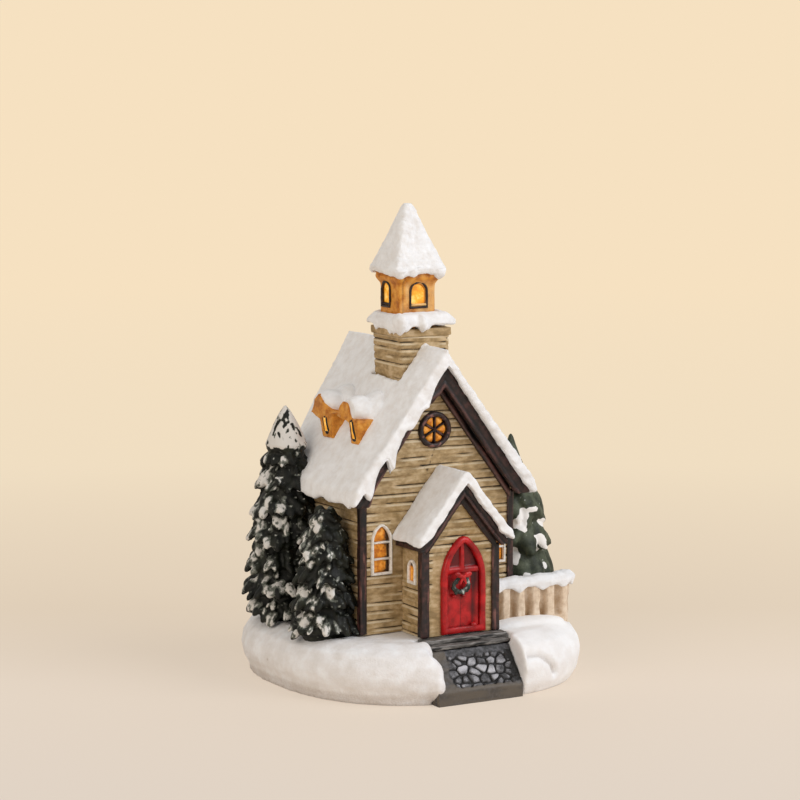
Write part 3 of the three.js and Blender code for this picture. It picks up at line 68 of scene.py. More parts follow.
# Driving places and sizes, as the solids have them
GROUND = 17.0
NAVE_X = -3.3
NAVE_HALF = 25.3
LEFT_WALL_X = NAVE_X - NAVE_HALF
RIGHT_WALL_X = NAVE_X + NAVE_HALF
FRONT_Y = -22.0
EAVE_Z = 56.6
ROOF_SLOPE = radians(53.3)
RIDGE_Z = 95.07
PORCH_X = -2.8
PORCH_HALF = 12.4
PORCH_LEFT_X = PORCH_X - PORCH_HALF
PORCH_Y = -34.0
PORCH_EAVE_Z = 43.7
PORCH_SLOPE = radians(51)
PORCH_APEX = 61.9
DOOR_X = -1.9
DOOR_Z = 18.0
DOOR_SPRING = DOOR_Z + 15.2
BOARD = 2.6
TOWER_BOARD = 2.1
TOWER_X, TOWER_Y = -3.4, -6.8
UP = np.array((0, 0, 1.0))
FRONT = (0, -1, 0)
LEFT = (-1, 0, 0)


def box(node):
    low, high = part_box(node)
    return np.array(low) / MM, np.array(high) / MM


def unit(v):
    v = np.asarray(v, float)
    return v / np.linalg.norm(v, axis=-1, keepdims=True)


def ease(low, high, x):
    """0 at low and 1 at high, with a smooth step between them"""
    t = np.clip((np.asarray(x, float) - low) / (high - low), 0, 1)
    return t * t * (3 - 2 * t)


def hump(x, centre, half, power=2):
    """1 at the centre, falling away on both sides"""
    return np.exp(-((x - centre) / half) ** power)


# Noise

def lattice(cell, seed):
    """A number from 0 to 1 for each whole cell; large odd numbers scramble its place"""
    h = cell[..., 0] * 374761393 + cell[..., 1] * 668265263 + cell[..., 2] * 1440662683 + seed * 974634777
    h = (h ^ (h >> 13)) * 1274126177 & 0x7FFFFFFF
    h = h ^ (h >> 16)
    return (h & 0xFFFF) / 65535


def noise(points, size, seed=0):
    """Smooth noise from -1 to 1; size is in mm, one number or one for each axis"""
    q = points / np.asarray(size, float)
    cell = np.floor(q).astype(np.int64)
    f = q - cell
    f = f * f * (3 - 2 * f)
    total = np.zeros(len(points))
    for corner in itertools.product((0, 1), repeat=3):
        total += np.prod(np.where(corner, f, 1 - f), axis=1) * lattice(cell + np.array(corner), seed)
    return 2 * total - 1


def rough(points, size, octaves=3, seed=0):
    """Noise with finer noise on it, each octave half the size of the last"""
    total = 0
    for i in range(octaves):
        total = total + noise(points, np.asarray(size, float) / 2 ** i, seed + 17 * i) / 2 ** i
    return total / (2 - 0.5 ** (octaves - 1))


def spots(points, size, radius, share, seed=0):
    """1 in the middle of scattered spots, falling to 0 at their radius"""
    cell = np.floor(points / size).astype(np.int64)
    best = np.zeros(len(points))
    for offset in itertools.product((-1, 0, 1), repeat=3):
        c = cell + np.array(offset)
        centre = (c + np.stack([lattice(c, seed + k) for k in (1, 2, 3)], -1)) * size
        there = lattice(c, seed) < share
        near = 1 - np.linalg.norm(points - centre, axis=1) / radius
        best = np.maximum(best, np.where(there, near, 0))
    return best


# Materials

def linear(code):
    """A colour written as six hexadecimal digits, made linear"""
    parts = [int(code[i:i + 2], 16) / 255 for i in (0, 2, 4)]
    return tuple(c / 12.92 if c <= 0.04045 else ((c + 0.055) / 1.055) ** 2.4 for c in parts) + (1,)


def node_tools(tree):
    """A function that makes a node, its in_ settings going to its inputs, and one that links two"""
    def node(kind, **settings):
        made = tree.nodes.new(kind)
        for key, value in settings.items():
            if key.startswith("in_"):
                made.inputs[key[3:].replace("_", " ")].default_value = value
            else:
                setattr(made, key, value)
        return made

    return node, tree.links.new


def tone_ramp(node, stops):
    """A colour ramp; stops are its places and the tones there"""
    ramp = node("ShaderNodeValToRGB")
    elements = ramp.color_ramp.elements
    while len(elements) < len(stops):
        elements.new(0.5)
    for element, (place, code) in zip(elements, stops):
        element.position = place
        element.color = linear(code)
    return ramp


def paint(name, slot, tones, size, rough_range=(0.6, 0.8), grain=0.0, grain_size=0.4, stretch=(1, 1, 1),
          washes=(), metallic=0.0, coat=0.0, specular=0.5, glow=0.0):
    """A patterned paint and its slot: tones vary over size mm, washes lie over it where an attribute is high"""
    material = bpy.data.materials.new(name)
    material.use_nodes = True
    shader = material.node_tree.nodes["Principled BSDF"]
    node, link = node_tools(material.node_tree)
    scaled = node("ShaderNodeMapping", in_Scale=tuple(s / MM for s in stretch))
    link(node("ShaderNodeTexCoord").outputs["Object"], scaled.inputs["Vector"])
    cloud = node("ShaderNodeTexNoise", in_Scale=1 / size, in_Detail=4, in_Roughness=0.6)
    link(scaled.outputs["Vector"], cloud.inputs["Vector"])
    ramp = tone_ramp(node, [(0.35 + 0.3 * i / (len(tones) - 1), tone) for i, tone in enumerate(tones)])
    link(cloud.outputs["Fac"], ramp.inputs["Fac"])
    colour = ramp.outputs["Color"]
    fine = node("ShaderNodeTexNoise", in_Scale=1 / grain_size, in_Detail=3)
    link(scaled.outputs["Vector"], fine.inputs["Vector"])
    for attribute, tone, low, high, ragged in washes:
        value = node("ShaderNodeAttribute", attribute_name=attribute).outputs["Fac"]
        break_up = node("ShaderNodeMath", operation="MULTIPLY_ADD")
        link(fine.outputs["Fac"], break_up.inputs[0])
        break_up.inputs[1].default_value = ragged
        link(value, break_up.inputs[2])
        over = node("ShaderNodeMapRange", in_From_Min=low + ragged / 2, in_From_Max=high + ragged / 2)
        link(break_up.outputs[0], over.inputs["Value"])
        mix = node("ShaderNodeMix", data_type="RGBA")
        link(over.outputs["Result"], mix.inputs["Factor"])
        link(colour, mix.inputs["A"])
        mix.inputs["B"].default_value = linear(tone)
        colour = mix.outputs["Result"]
    link(colour, shader.inputs["Base Color"])
    sheen = node("ShaderNodeMapRange", in_From_Min=0.3, in_From_Max=0.7,
                 in_To_Min=rough_range[0], in_To_Max=rough_range[1])
    link(fine.outputs["Fac"], sheen.inputs["Value"])
    link(sheen.outputs["Result"], shader.inputs["Roughness"])
    if grain:
        bump = node("ShaderNodeBump", in_Distance=grain * MM, in_Strength=1.0)
        link(fine.outputs["Fac"], bump.inputs["Height"])
        link(bump.outputs["Normal"], shader.inputs["Normal"])
    settings = {"Metallic": metallic, "Coat Weight": coat, "Coat Roughness": 0.15,
                "Specular IOR Level": specular}
    if glow:
        link(colour, shader.inputs["Emission Color"])
        settings["Emission Strength"] = glow
    for key, value in settings.items():
        shader.inputs[key].default_value = value
    return material, slot


# Snow paints: the first wash lays painted shade in pits and hollows, and low on the bank's left; the second
# makes snow paler at random and lays painted light on the bank's right side
SNOW = paint("snow_paint", "snow", ["e9e8e8", "eff0f2", "f5f7fa"], 3, (0.7, 0.95), 0.14, 0.45,
             washes=[("pit", "8d8073", 0.35, 0.8, 0.3), ("bright", "fcfdfe", 0.2, 1.0, 0.2)])
GROUND_SNOW = paint("ground_snow_paint", "snow", ["e5e3e2", "ecebec", "f3f5f8"], 5, (0.7, 0.95), 0.16, 0.5,
                    washes=[("pit", "9f9081", 0.3, 0.85, 0.3), ("bright", "fcfdfe", 0.2, 1.0, 0.2)])
# On the siding, the second wash is a painted highlight along each board's top edge
SIDING = paint("siding_paint", "siding", ["8f7750", "af9469", "c8b08a"],
               3.2, (0.55, 0.8), 0.07, 0.3, stretch=(1, 1, 1.8),
               washes=[("smear", "9a7a38", 0.35, 1.2, 0.6), ("high", "dccdaf", 0.3, 1.0, 0.7),
                       ("groove", "1c130b", 0.35, 0.7, 0.3)])
# The dark wood's second wash is a painted reddish sheen: along the gable boards' lower ridge, on raised
# streaks, and in spots on window frames
WOOD = paint("dark_wood_paint", "dark_wood", ["180d0b", "2c1917", "482a27"], 1.6, (0.35, 0.6), 0.06, 0.35,
             washes=[("groove", "0a0605", 0.2, 0.9, 0.3), ("ridge", "80544c", 0.35, 1.0, 0.5)])
# The ochre's second wash is paler ochre; on the belfry it is partly painted light on the faces turned to the
# front
OCHRE = paint("ochre_paint", "ochre", ["aa620c", "d08522", "e2a140"], 2.2, (0.4, 0.6), 0.05, 0.3,
              washes=[("groove", "5b3414", 0.3, 0.9, 0.4), ("high", "f0c98a", 0.4, 1.0, 0.4)])
# The stone's second wash makes each cobble paler, partly a random tone and partly a painted highlight
STONE = paint("stone_paint", "dark_stone", ["1a1a1b", "343437", "56565b"], 1.1, (0.4, 0.65), 0.1, 0.3,
              washes=[("kerb", "5a5248", 0.3, 0.9, 0.5), ("high", "bbbcc3", 0.25, 0.9, 0.8),
                      ("joint", "060606", 0.3, 0.6, 0.2)])
# The steps' first wash is a painted highlight on their rounded edges, with paler streaks
STEP = paint("step_paint", "dark_stone", ["343230", "5f5c59", "8a8784"],
             1.4, (0.5, 0.75), 0.1, 0.3, stretch=(0.35, 1, 1.8),
             washes=[("high", "bdbcbb", 0.3, 1.0, 0.7), ("joint", "0e0d0c", 0.3, 0.8, 0.4)])
# The red's first wash darkens it: painted shade in the door leaf's recesses, and a darker tone at random on the
# frame and bow
RED = paint("door_red_paint", "door_red", ["8a070c", "ac1016", "c41c20"],
            3.0, (0.3, 0.5), 0.05, 0.5, specular=0.35, coat=0.15,
            washes=[("deep", "43040a", 0.1, 1.0, 0.2), ("groove", "4a050a", 0.3, 0.9, 0.3)])
# The amber's wash darkens window panes: painted shade towards one side or the top, and random darkening, on the
# petals too
AMBER = paint("amber_paint", "amber", ["b4641a", "dc8c26", "eda94a"], 1.4, (0.4, 0.6), glow=0.22,
              washes=[("groove", "33200e", 0.45, 0.75, 0.25)])
GLOW = paint("belfry_glow_paint", "amber", ["c67e18", "dc9a28", "eec26c"], 2.6, (0.3, 0.5), glow=0.65)
WHITE = paint("window_white_paint", "window_white", ["d8d2c8", "ece8e1", "f6f3ef"],
              1.2, (0.5, 0.7), 0.03, 0.25)
TREE = paint("tree_paint", "tree_green", ["040502", "0a0d07", "15180f"],
             2.2, (0.4, 0.65), 0.08, 0.4, specular=0.3,
             washes=[("leaf", "2b2f22", 0.55, 1.2, 0.4), ("snow", "6f736b", 0.22, 0.42, 0.35),
                     ("snow", "d9d7d3", 0.46, 0.56, 0.35)])
SAGE = paint("sage_paint", "sage_green", ["2f3629", "49503e", "5f6653"],
             3.0, (0.45, 0.65), 0.06, 0.4, specular=0.3,
             washes=[("leaf", "1b2218", 0.4, 1.0, 0.3), ("snow", "f1efec", 0.45, 0.51, 0.15)])
# The fence's wash is painted shade in the hollows between the slats
BEIGE = paint("fence_paint", "fence_beige", ["cbb398", "dcc7ae", "ead9c4"], 2.0, (0.55, 0.75), 0.05, 0.4,
              washes=[("groove", "8a6537", 0.05, 1.0, 0.35)])
WREATH = paint("wreath_paint", "tree_green", ["0f1512", "1c2823", "33443c"], 0.8, (0.25, 0.45), 0.05, 0.2,
               washes=[("snow", "c9d0cb", 0.6, 0.8, 0.5)])
PLASTIC = paint("black_plastic", None, ["17171a", "1c1c1f", "222226"], 0.8, (0.45, 0.6), 0.02, 0.12)
STEEL = paint("nickel_steel", None, ["a9adb2", "b9bcc0", "c9ccd0"], 1.5, (0.18, 0.3), metallic=1.0)
BRASS = paint("spring_brass", None, ["b08a3a", "c9a24d", "d8b562"], 1.5, (0.25, 0.4), metallic=1.0)
BOARD_GREEN = paint("board_mask", None, ["174a2b", "1f5a35", "276840"], 1.2, (0.3, 0.45))
LENS = paint("led_lens", None, ["e8b860", "f3cd7c", "f8dc9c"], 2.0, (0.15, 0.3), glow=0.3)


# Meshes

def mesh_of(name, points, faces, **values):
    mesh = bpy.data.meshes.new(name)
    mesh.from_pydata((np.asarray(points, float) * MM).tolist(), [], [list(map(int, f)) for f in faces])
    mesh.update()
    put(mesh, values)
    return mesh


def put(mesh, values):
    """Gives each vertex the values that the paints' washes read"""
    for key, value in values.items():
        data = np.broadcast_to(np.asarray(value, np.float32), (len(mesh.vertices),))
        mesh.attributes.new(key, "FLOAT", "POINT").data.foreach_set("value", np.ascontiguousarray(data))


def points_of(mesh):
    flat = np.zeros(len(mesh.vertices) * 3, np.float32)
    mesh.vertices.foreach_get("co", flat)
    return flat.reshape(-1, 3).astype(float) / MM


def set_points(mesh, points):
    mesh.vertices.foreach_set("co", (points * MM).astype(np.float32).ravel())
    mesh.update()


def normals_of(mesh):
    flat = np.zeros(len(mesh.vertices) * 3, np.float32)
    mesh.vertices.foreach_get("normal", flat)
    return flat.reshape(-1, 3).astype(float)


def show(name, mesh, finish, *stands_for):
    """Makes a mesh a piece on the root body; finish is its material and slot, and the slot is not used"""
    material, slot = finish
    mesh.materials.clear()
    mesh.materials.append(material)
    mesh.polygons.foreach_set("use_smooth", [True] * len(mesh.polygons))
    piece = bpy.data.objects.new(name, mesh)
    bpy.context.scene.collection.objects.link(piece)
    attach(piece, "root")
    if stands_for:
        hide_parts(*stands_for)
    return piece


def merged(name, parts):
    """One mesh of several (points, faces) parts"""
    points, faces, start = [], [], 0
    for p, f in parts:
        points.append(np.asarray(p, float))
        faces += [[i + start for i in face] for face in f]
        start += len(p)
    return mesh_of(name, np.concatenate(points), faces)


def solid_of(node):
    mesh = NODES[node].data
    return points_of(mesh), [list(p.vertices) for p in mesh.polygons]


def remeshed(mesh, voxel, relax=0):
    """The mesh as one even skin, with its edges rounded"""
    holder = bpy.data.objects.new("holder", mesh)
    bpy.context.scene.collection.objects.link(holder)
    skin = holder.modifiers.new("skin", "REMESH")
    skin.mode = "VOXEL"
    skin.voxel_size = voxel * MM
    if relax:
        soft = holder.modifiers.new("soft", "SMOOTH")
        soft.iterations = relax
        soft.factor = 0.5
    ready = holder.evaluated_get(bpy.context.evaluated_depsgraph_get())
    made = bpy.data.meshes.new_from_object(ready)
    bpy.data.objects.remove(holder)
    return made


def worked(name, parts, voxel, shape, finish, *stands_for, relax=1):
    """Closed parts made into one skin with rounded edges and a worked surface"""
    mesh = remeshed(merged(name, parts), voxel, relax)
    points = points_of(mesh)
    normals = normals_of(mesh)
    move, values = shape(points, normals)
    move = np.asarray(move, float)
    points = points + (normals * move[:, None] if move.ndim == 1 else move)
    set_points(mesh, np.clip(points, CAD_LOW, CAD_HIGH))
    put(mesh, values)
    return show(name, mesh, finish, *stands_for)


def sculpt(name, node, voxel, shape, finish, extra=(), relax=1):
    """A node's own solid, worked, with extra closed parts joined to it"""
    return worked(name, [solid_of(node), *extra], voxel, shape, finish, node, relax=relax)


def uneven_piece(name, mesh, uneven, marks, finish, *stands_for):
    """Shows a mesh, uneven as hand-painted resin is: how far, over how many mm, and the seed"""
    points = points_of(mesh)
    if uneven:
        amount, size, seed = uneven
        set_points(mesh, points + normals_of(mesh) * (amount * noise(points, size, seed))[:, None])
    put(mesh, marks(points) if marks else {})
    return show(name, mesh, finish, *stands_for)


def ball(centre, radii, axis=None, detail=2, taper=0.0):
    """An egg: its first radius lies along axis, and it narrows towards that end by taper"""
    bm = bmesh.new()
    bmesh.ops.create_icosphere(bm, subdivisions=detail, radius=1)
    points = np.array([v.co for v in bm.verts])
    faces = [[v.index for v in f.verts] for f in bm.faces]
    bm.free()
    points[:, 1:] *= (1 - taper * points[:, :1])
    points = points * np.asarray(radii, float)
    if axis is not None:
        a = unit(axis)
        side = unit(np.cross((0, 0, 1), a)) if abs(a[2]) < 0.99 else np.array((0, 1.0, 0))
        points = points @ np.array([a, side, np.cross(a, side)])
    return points + np.asarray(centre, float), faces


def sweep(path, section, face, closed=True):
    """A bar of one section along a path in a plane; section is (out from the path's right, out of the plane)"""
    path = np.asarray(path, float)
    face = unit(face)
    ahead = np.roll(path, -1, 0) - path
    behind = path - np.roll(path, 1, 0)
    if not closed:
        ahead[-1] = behind[-1]
        behind[0] = ahead[0]
    ahead, behind = unit(ahead), unit(behind)
    tangent = unit(ahead + behind)
    side = np.cross(tangent, face)
    reach = 1 / np.maximum(0.6, (tangent * ahead).sum(1))
    section = np.asarray(section, float)
    rings = (path[:, None] + side[:, None] * (section[None, :, :1] * reach[:, None, None])
             + face * section[None, :, 1:2])
    count, around = len(path), len(section)
    faces = []
    for i in range(count if closed else count - 1):
        for j in range(around):
            a, b = i * around + j, i * around + (j + 1) % around
            c, d = ((i + 1) % count) * around + (j + 1) % around, ((i + 1) % count) * around + j
            faces.append([a, b, c, d])
    if not closed:
        faces += [list(range(around)), list(range((count - 1) * around, count * around))[::-1]]
    return rings.reshape(-1, 3), faces


def tidy(mesh):
    """Turns all faces outwards"""
    bm = bmesh.new()
    bm.from_mesh(mesh)
    bmesh.ops.recalc_face_normals(bm, faces=bm.faces)
    bm.to_mesh(mesh)
    bm.free()
    return mesh


def round_section(width, height, base=0.0, count=8):
    """A half-round section, standing height out of the plane"""
    angles = np.linspace(0, pi, count)
    arc = [(width / 2 * cos(a), height * sin(a) ** 0.8) for a in angles]
    return arc + [(-width / 2, base), (width / 2, base)]


def plate(front, out, level, keep=None, values=None):
    """A closed slab: front is a grid of points, level is where its flat back lies along out"""
    rows, cols = front.shape[:2]
    index = np.arange(rows * cols).reshape(rows, cols)
    quads = np.stack([index[:-1, :-1], index[:-1, 1:], index[1:, 1:], index[1:, :-1]], -1)
    quads = quads[keep] if keep is not None else quads.reshape(-1, 4)
    mesh = mesh_of("plate", front.reshape(-1, 3), quads, **(values or {}))
    bm = bmesh.new()
    bm.from_mesh(mesh)
    bpy.data.meshes.remove(mesh)
    bmesh.ops.delete(bm, geom=[v for v in bm.verts if not v.link_faces], context="VERTS")
    rim = [e for e in bm.edges if e.is_boundary]
    made = bmesh.ops.extrude_edge_only(bm, edges=rim)["geom"]
    n = Vector(out)
    for v in made:
        if isinstance(v, bmesh.types.BMVert):
            v.co -= n * (v.co.dot(n) - level * MM)
    back = [e for e in made if isinstance(e, bmesh.types.BMEdge) and e.is_boundary]
    bmesh.ops.triangle_fill(bm, edges=back, use_beauty=False, normal=-n)
    bmesh.ops.recalc_face_normals(bm, faces=bm.faces)
    return bm


def slab_piece(name, slabs, finish, *stands_for):
    """One piece of the slabs that plate() makes"""
    bm = slabs[0]
    mesh = bpy.data.meshes.new(name)
    bm.to_mesh(mesh)
    for extra in slabs[1:]:
        other = bpy.data.meshes.new("slab")
        extra.to_mesh(other)
        bm.from_mesh(other)
        bpy.data.meshes.remove(other)
        extra.free()
    bm.to_mesh(mesh)
    bm.free()
    return show(name, mesh, finish, *stands_for)


def near_line(u, z, a, b):
    """How far places in a plane are from the line between a and b"""
    a, b = np.array(a), np.array(b)
    t = np.clip(((u - a[0]) * (b[0] - a[0]) + (z - a[1]) * (b[1] - a[1])) / ((b - a) ** 2).sum(), 0, 1)
    return np.hypot(u - a[0] - t * (b[0] - a[0]), z - a[1] - t * (b[1] - a[1]))


def chevron_bar(x, apex, half, slope, y0, y1, top, bottom):
    """A strip along both slopes of a gable; top and bottom are how far its edges lie below the apex lines"""
    points = [(x + side * half, y, apex - across / cos(slope) - abs(side) * half * tan(slope))
              for y in (y0, y1) for across in (top, bottom) for side in (-1, 0, 1)]
    faces = [[0, 1, 4, 3], [1, 2, 5, 4], [6, 9, 10, 7], [7, 10, 11, 8], [0, 6, 7, 1], [1, 7, 8, 2],
             [3, 4, 10, 9], [4, 5, 11, 10], [0, 3, 9, 6], [2, 8, 11, 5]]
    return points, faces


def tube_faces(rows, count):
    """Faces of a tube of rings whose last ring joins its first"""
    faces = []
    for i in range(rows):
        j = (i + 1) % rows
        for k in range(count):
            m = (k + 1) % count
            faces.append([i * count + k, i * count + m, j * count + m, j * count + k])
    return faces


def revolved(axis, profile, count=40):
    """A solid of revolution, or a pyramid; profile is (z, radius) from the bottom up"""
    angles = (np.arange(count) + 0.5) * 2 * pi / count
    points = [(axis[0] + r * cos(a), axis[1] + r * sin(a), z) for z, r in profile for a in angles]
    faces = tube_faces(len(profile), count)[:(len(profile) - 1) * count]
    faces += [list(range(count))[::-1], list(range(len(points) - count, len(points)))]
    return points, faces


# Camera, light and stage

AZIMUTH = radians(-30)
ELEVATION = radians(7.6)
CAMERA_PLACE = (-0.44307, -0.76202, 0.19872)
LIT_PLACE = (0, 0, 0.06)
FLOOR_REACH = 40
SHADOW_REACH = (0.07, 0.4)
BACKDROP = "f6e1c1"
# The floor's tone from front to back, darker and greyer near the front and paler behind as painted light: how
# far behind the object in metres, and the tone there
FLOOR_TONES = [(-0.15, "e4d7c9"), (-0.02, "ebdccb"), (0.09, "e7d6c0"), (0.4, "f0dec2"), (1.2, BACKDROP)]


def stand(name, data, location, back):
    """Puts a camera or a lamp in the scene, with its back turned to a direction"""
    made = bpy.data.objects.new(name, data)
    made.location = location
    made.rotation_euler = Vector(back).to_track_quat("Z", "Y").to_euler()
    bpy.context.scene.collection.objects.link(made)
    return made


def lamp(name, location, size, power, colour):
    data = bpy.data.lights.new(name, "AREA")
    data.shape = "DISK"
    data.size = size
    data.energy = power
    data.color = colour
    stand(name, data, location, Vector(location) - Vector(LIT_PLACE))


camera_data = bpy.data.cameras.new("camera")
camera_data.lens = 135
camera_data.sensor_width = 36
camera_data.clip_end = 100
camera_back = (sin(AZIMUTH) * cos(ELEVATION), -cos(AZIMUTH) * cos(ELEVATION), sin(ELEVATION))
bpy.context.scene.camera = stand("camera", camera_data, CAMERA_PLACE, camera_back)
bpy.context.scene.view_settings.view_transform = "Standard"
lamp("key", (0.62, -0.85, 0.75), 1.1, 9.0, (0.98, 1.0, 1.05))
lamp("fill", (-1.2, -0.5, 0.7), 0.9, 5, (1, 0.87, 0.73))


def stage_material(name):
    """Paper that shows its tone to the eye, graded from front to back as painted light, and takes the object's
    soft shadow close to it
    """
    material = bpy.data.materials.new(name)
    material.use_nodes = True
    material.node_tree.nodes.clear()
    node, link = node_tools(material.node_tree)
    place = node("ShaderNodeTexCoord").outputs["Object"]
    behind = node("ShaderNodeVectorMath", operation="DOT_PRODUCT")
    link(place, behind.inputs[0])
    behind.inputs[1].default_value = (0.5, 0.866, 0)
    nearest, farthest = FLOOR_TONES[0][0], FLOOR_TONES[-1][0]
    share = node("ShaderNodeMapRange", in_From_Min=nearest, in_From_Max=farthest)
    link(behind.outputs["Value"], share.inputs["Value"])
    tone = tone_ramp(node, [((far - nearest) / (farthest - nearest), code) for far, code in FLOOR_TONES])
    link(share.outputs["Result"], tone.inputs["Fac"])
    diffuse = node("ShaderNodeBsdfDiffuse")
    glow = node("ShaderNodeEmission")
    link(tone.outputs["Color"], diffuse.inputs["Color"])
    link(tone.outputs["Color"], glow.inputs["Color"])
    path = node("ShaderNodeLightPath")
    seen = path.outputs["Is Camera Ray"]
    for ray in ("Is Glossy Ray", "Is Transmission Ray"):
        either = node("ShaderNodeMath", operation="MAXIMUM")
        link(seen, either.inputs[0])
        link(path.outputs[ray], either.inputs[1])
        seen = either.outputs[0]
    length = node("ShaderNodeVectorMath", operation="LENGTH")
    link(place, length.inputs[0])
    away = node("ShaderNodeMapRange", in_From_Min=SHADOW_REACH[0], in_From_Max=SHADOW_REACH[1], in_To_Min=0.64)
    link(length.outputs["Value"], away.inputs["Value"])
    glowing = node("ShaderNodeMath", operation="MULTIPLY")
    link(seen, glowing.inputs[0])
    link(away.outputs["Result"], glowing.inputs[1])
    mix = node("ShaderNodeMixShader")
    link(glowing.outputs[0], mix.inputs["Fac"])
    link(diffuse.outputs["BSDF"], mix.inputs[1])
    link(glow.outputs["Emission"], mix.inputs[2])
    link(mix.outputs["Shader"], node("ShaderNodeOutputMaterial").inputs["Surface"])
    return material


floor_mesh = bpy.data.meshes.new("floor")
corners = [(x * FLOOR_REACH, y * FLOOR_REACH, 0) for x, y in ((-1, -1), (1, -1), (1, 1), (-1, 1))]
floor_mesh.from_pydata(corners, [], [(0, 1, 2, 3)])
floor = bpy.data.objects.new("floor", floor_mesh)
floor_mesh.materials.append(stage_material("floor_paper"))
bpy.context.scene.collection.objects.link(floor)
floor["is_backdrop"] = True

# The sky lights the object, and shows the backdrop's tone to the camera
world = bpy.data.worlds.new("world")
bpy.context.scene.world = world
world.use_nodes = True
node, link = node_tools(world.node_tree)
light_sky = world.node_tree.nodes["Background"]
light_sky.inputs["Color"].default_value = (1, 0.965, 0.92, 1)
light_sky.inputs["Strength"].default_value = 0.5
seen_sky = node("ShaderNodeBackground", in_Color=linear(BACKDROP), in_Strength=1.0)
sky_mix = node("ShaderNodeMixShader")
link(node("ShaderNodeLightPath").outputs["Is Camera Ray"], sky_mix.inputs["Fac"])
link(light_sky.outputs["Background"], sky_mix.inputs[1])
link(seen_sky.outputs["Background"], sky_mix.inputs[2])
link(sky_mix.outputs["Shader"], world.node_tree.nodes["World Output"].inputs["Surface"])


# Snow

DOWN = (0, 0, -1)
# Bays where the left fringe shows the board: how far from the ridge, and half their width
FRINGE_BAYS = [(21.9, 2.6), (28.9, 2.0)]
# Drips at the front of the ledge's snow: their x, and half their width
LEDGE_DRIPS = [(-11.6, 2.6), (-3.9, 1.9)]
# A crescent hollow in the bank right of the path, on its face: x and z
CRESCENT = [(12.0, 11.6), (16.6, 11.2), (20.6, 8.2), (22.6, 4.9)]


def push(normals, out, up):
    """Moves along the normals and straight up"""
    return normals * out[:, None] + up[:, None] * UP


def snow_shape(grain=0.12, size=1.1, swell=0.3, swell_size=9, pits=0.5, seed=0, facing=0.0, lift=0.15):
    """Lumpy snow: grain is its roughness, facing how much coarser its front is, swell how far it bulges"""
    def shape(points, normals):
        amount = grain * (1 + facing * ease(-0.2, -0.8, normals[:, 1]))
        # Pits are dented, and darkened with painted shade
        pit = spots(points, 7.0, 0.75, 0.12 * pits, seed + 5)
        move = (lift + amount * (rough(points, size, 3, seed) - 0.2)
                + swell * noise(points, swell_size, seed + 3) - 0.35 * ease(0.2, 0.8, pit))
        return move, {"pit": pit, "bright": 0.5 * noise(points, 5, seed + 9)}
    return shape


def raise_fringe(points, x, apex, slope, y, left, share, gap):
    """How far a gable's front fringe is pulled up: all of it at the apex, and a share of it on each slope"""
    off = points[:, 0] - x
    drop = apex - points[:, 2] - np.abs(off) * tan(slope) - gap
    amount = np.where(off < 0, left + (share - left) * ease(-13, -9, off), share)
    amount = amount * (1 + 0.5 * noise(points * (1, 0, 1), 4.2, 21))
    amount = amount + (0.95 - amount) * ease(7, 2.5, np.abs(off))
    return amount * np.maximum(drop, 0) * ease(y, y - 1.6, points[:, 1])


def roof_shape(points, normals):
    """The fringe hangs down over the gable board less far on the right, where the snow is thinner too"""
    move, values = snow_shape(0.15, 1.3, 0.35, 10, facing=0.8)(points, normals)
    x, y, z = points.T
    off = NAVE_X - x
    thin = 0.7 * ease(0.2, 0.6, normals[:, 0]) * ease(-20, -24, y)
    ripple = 0.3 * noise(points, (2.4, 2.4, 1.8), 22) * ease(-24, -27, y)
    bay = sum(hump(off, c, half, 4) for c, half in FRINGE_BAYS) * ease(-24, -25.6, y)
    drop = np.maximum(RIDGE_Z + 2.4 - z - np.abs(off) * tan(ROOF_SLOPE), 0)
    up = 0.9 * bay * drop + raise_fringe(points, NAVE_X, RIDGE_Z, ROOF_SLOPE, -24, 0.0, 0.55, 0.3)
    return push(normals, move - thin + ripple, up), values


def porch_shape(points, normals):
    """The fringe is pulled up at the front, and what hangs lowest is lifted"""
    move, values = snow_shape(0.13, 1.2, 0.3, 7, seed=2)(points, normals)
    ripple = 0.25 * noise(points, (2.2, 2.2, 1.6), 24) * ease(-35, -37, points[:, 1])
    up = (0.5 * np.maximum(46 - points[:, 2], 0)
          + raise_fringe(points, PORCH_X, PORCH_APEX, PORCH_SLOPE, -34.6, 0.45, 0.6, -0.2))
    return push(normals, move + ripple, up), values


def heap_shape(points, normals):
    """A heap on a dormer stays behind the dormer's face"""
    move, values = snow_shape(0.1, 1.2, 0.2, 5, seed=5)(points, normals)
    placed = points + normals * move[:, None]
    placed[:, 0] = np.maximum(placed[:, 0], -24.7)
    return placed - points, values


def cap_shape(points, normals):
    """The rim rises at the front, towards the left rear corner, and between the corners"""
    move, values = snow_shape(0.2, 1.0, 0.25, 6, seed=4, facing=1.4, lift=0.4)(points, normals)
    x, y, z = points.T
    rear = ease(-9, 0, y) * ease(-4, -10, x)
    middle = hump(x, -4.2, 3.6) * ease(-9, -13, y)
    side = hump(y, -7.5, 4) * ease(-9, -12, x)
    front = ease(-6, -11, y)
    rise = ease(122.5, 119, z) * (2.0 * rear + 1.1 * middle + 0.9 * side + 1.1 * front)
    return push(normals, move, rise), values


def ledge_shape(points, normals):
    """The ledge's snow ends in separate drips"""
    move, values = snow_shape(0.16, 1.0, 0.12, 5, pits=0, seed=3)(points, normals)
    front = np.max([hump(points[:, 0], x, half, 4) for x, half in LEDGE_DRIPS], 0)
    other = ease(-0.1, 0.5, noise(points * (1, 1, 0), 4.2, 23))
    drip = np.where(points[:, 1] < -13, front, other)
    return push(normals, move, 0.72 * np.maximum(105.8 - points[:, 2], 0) * (1 - drip)), values


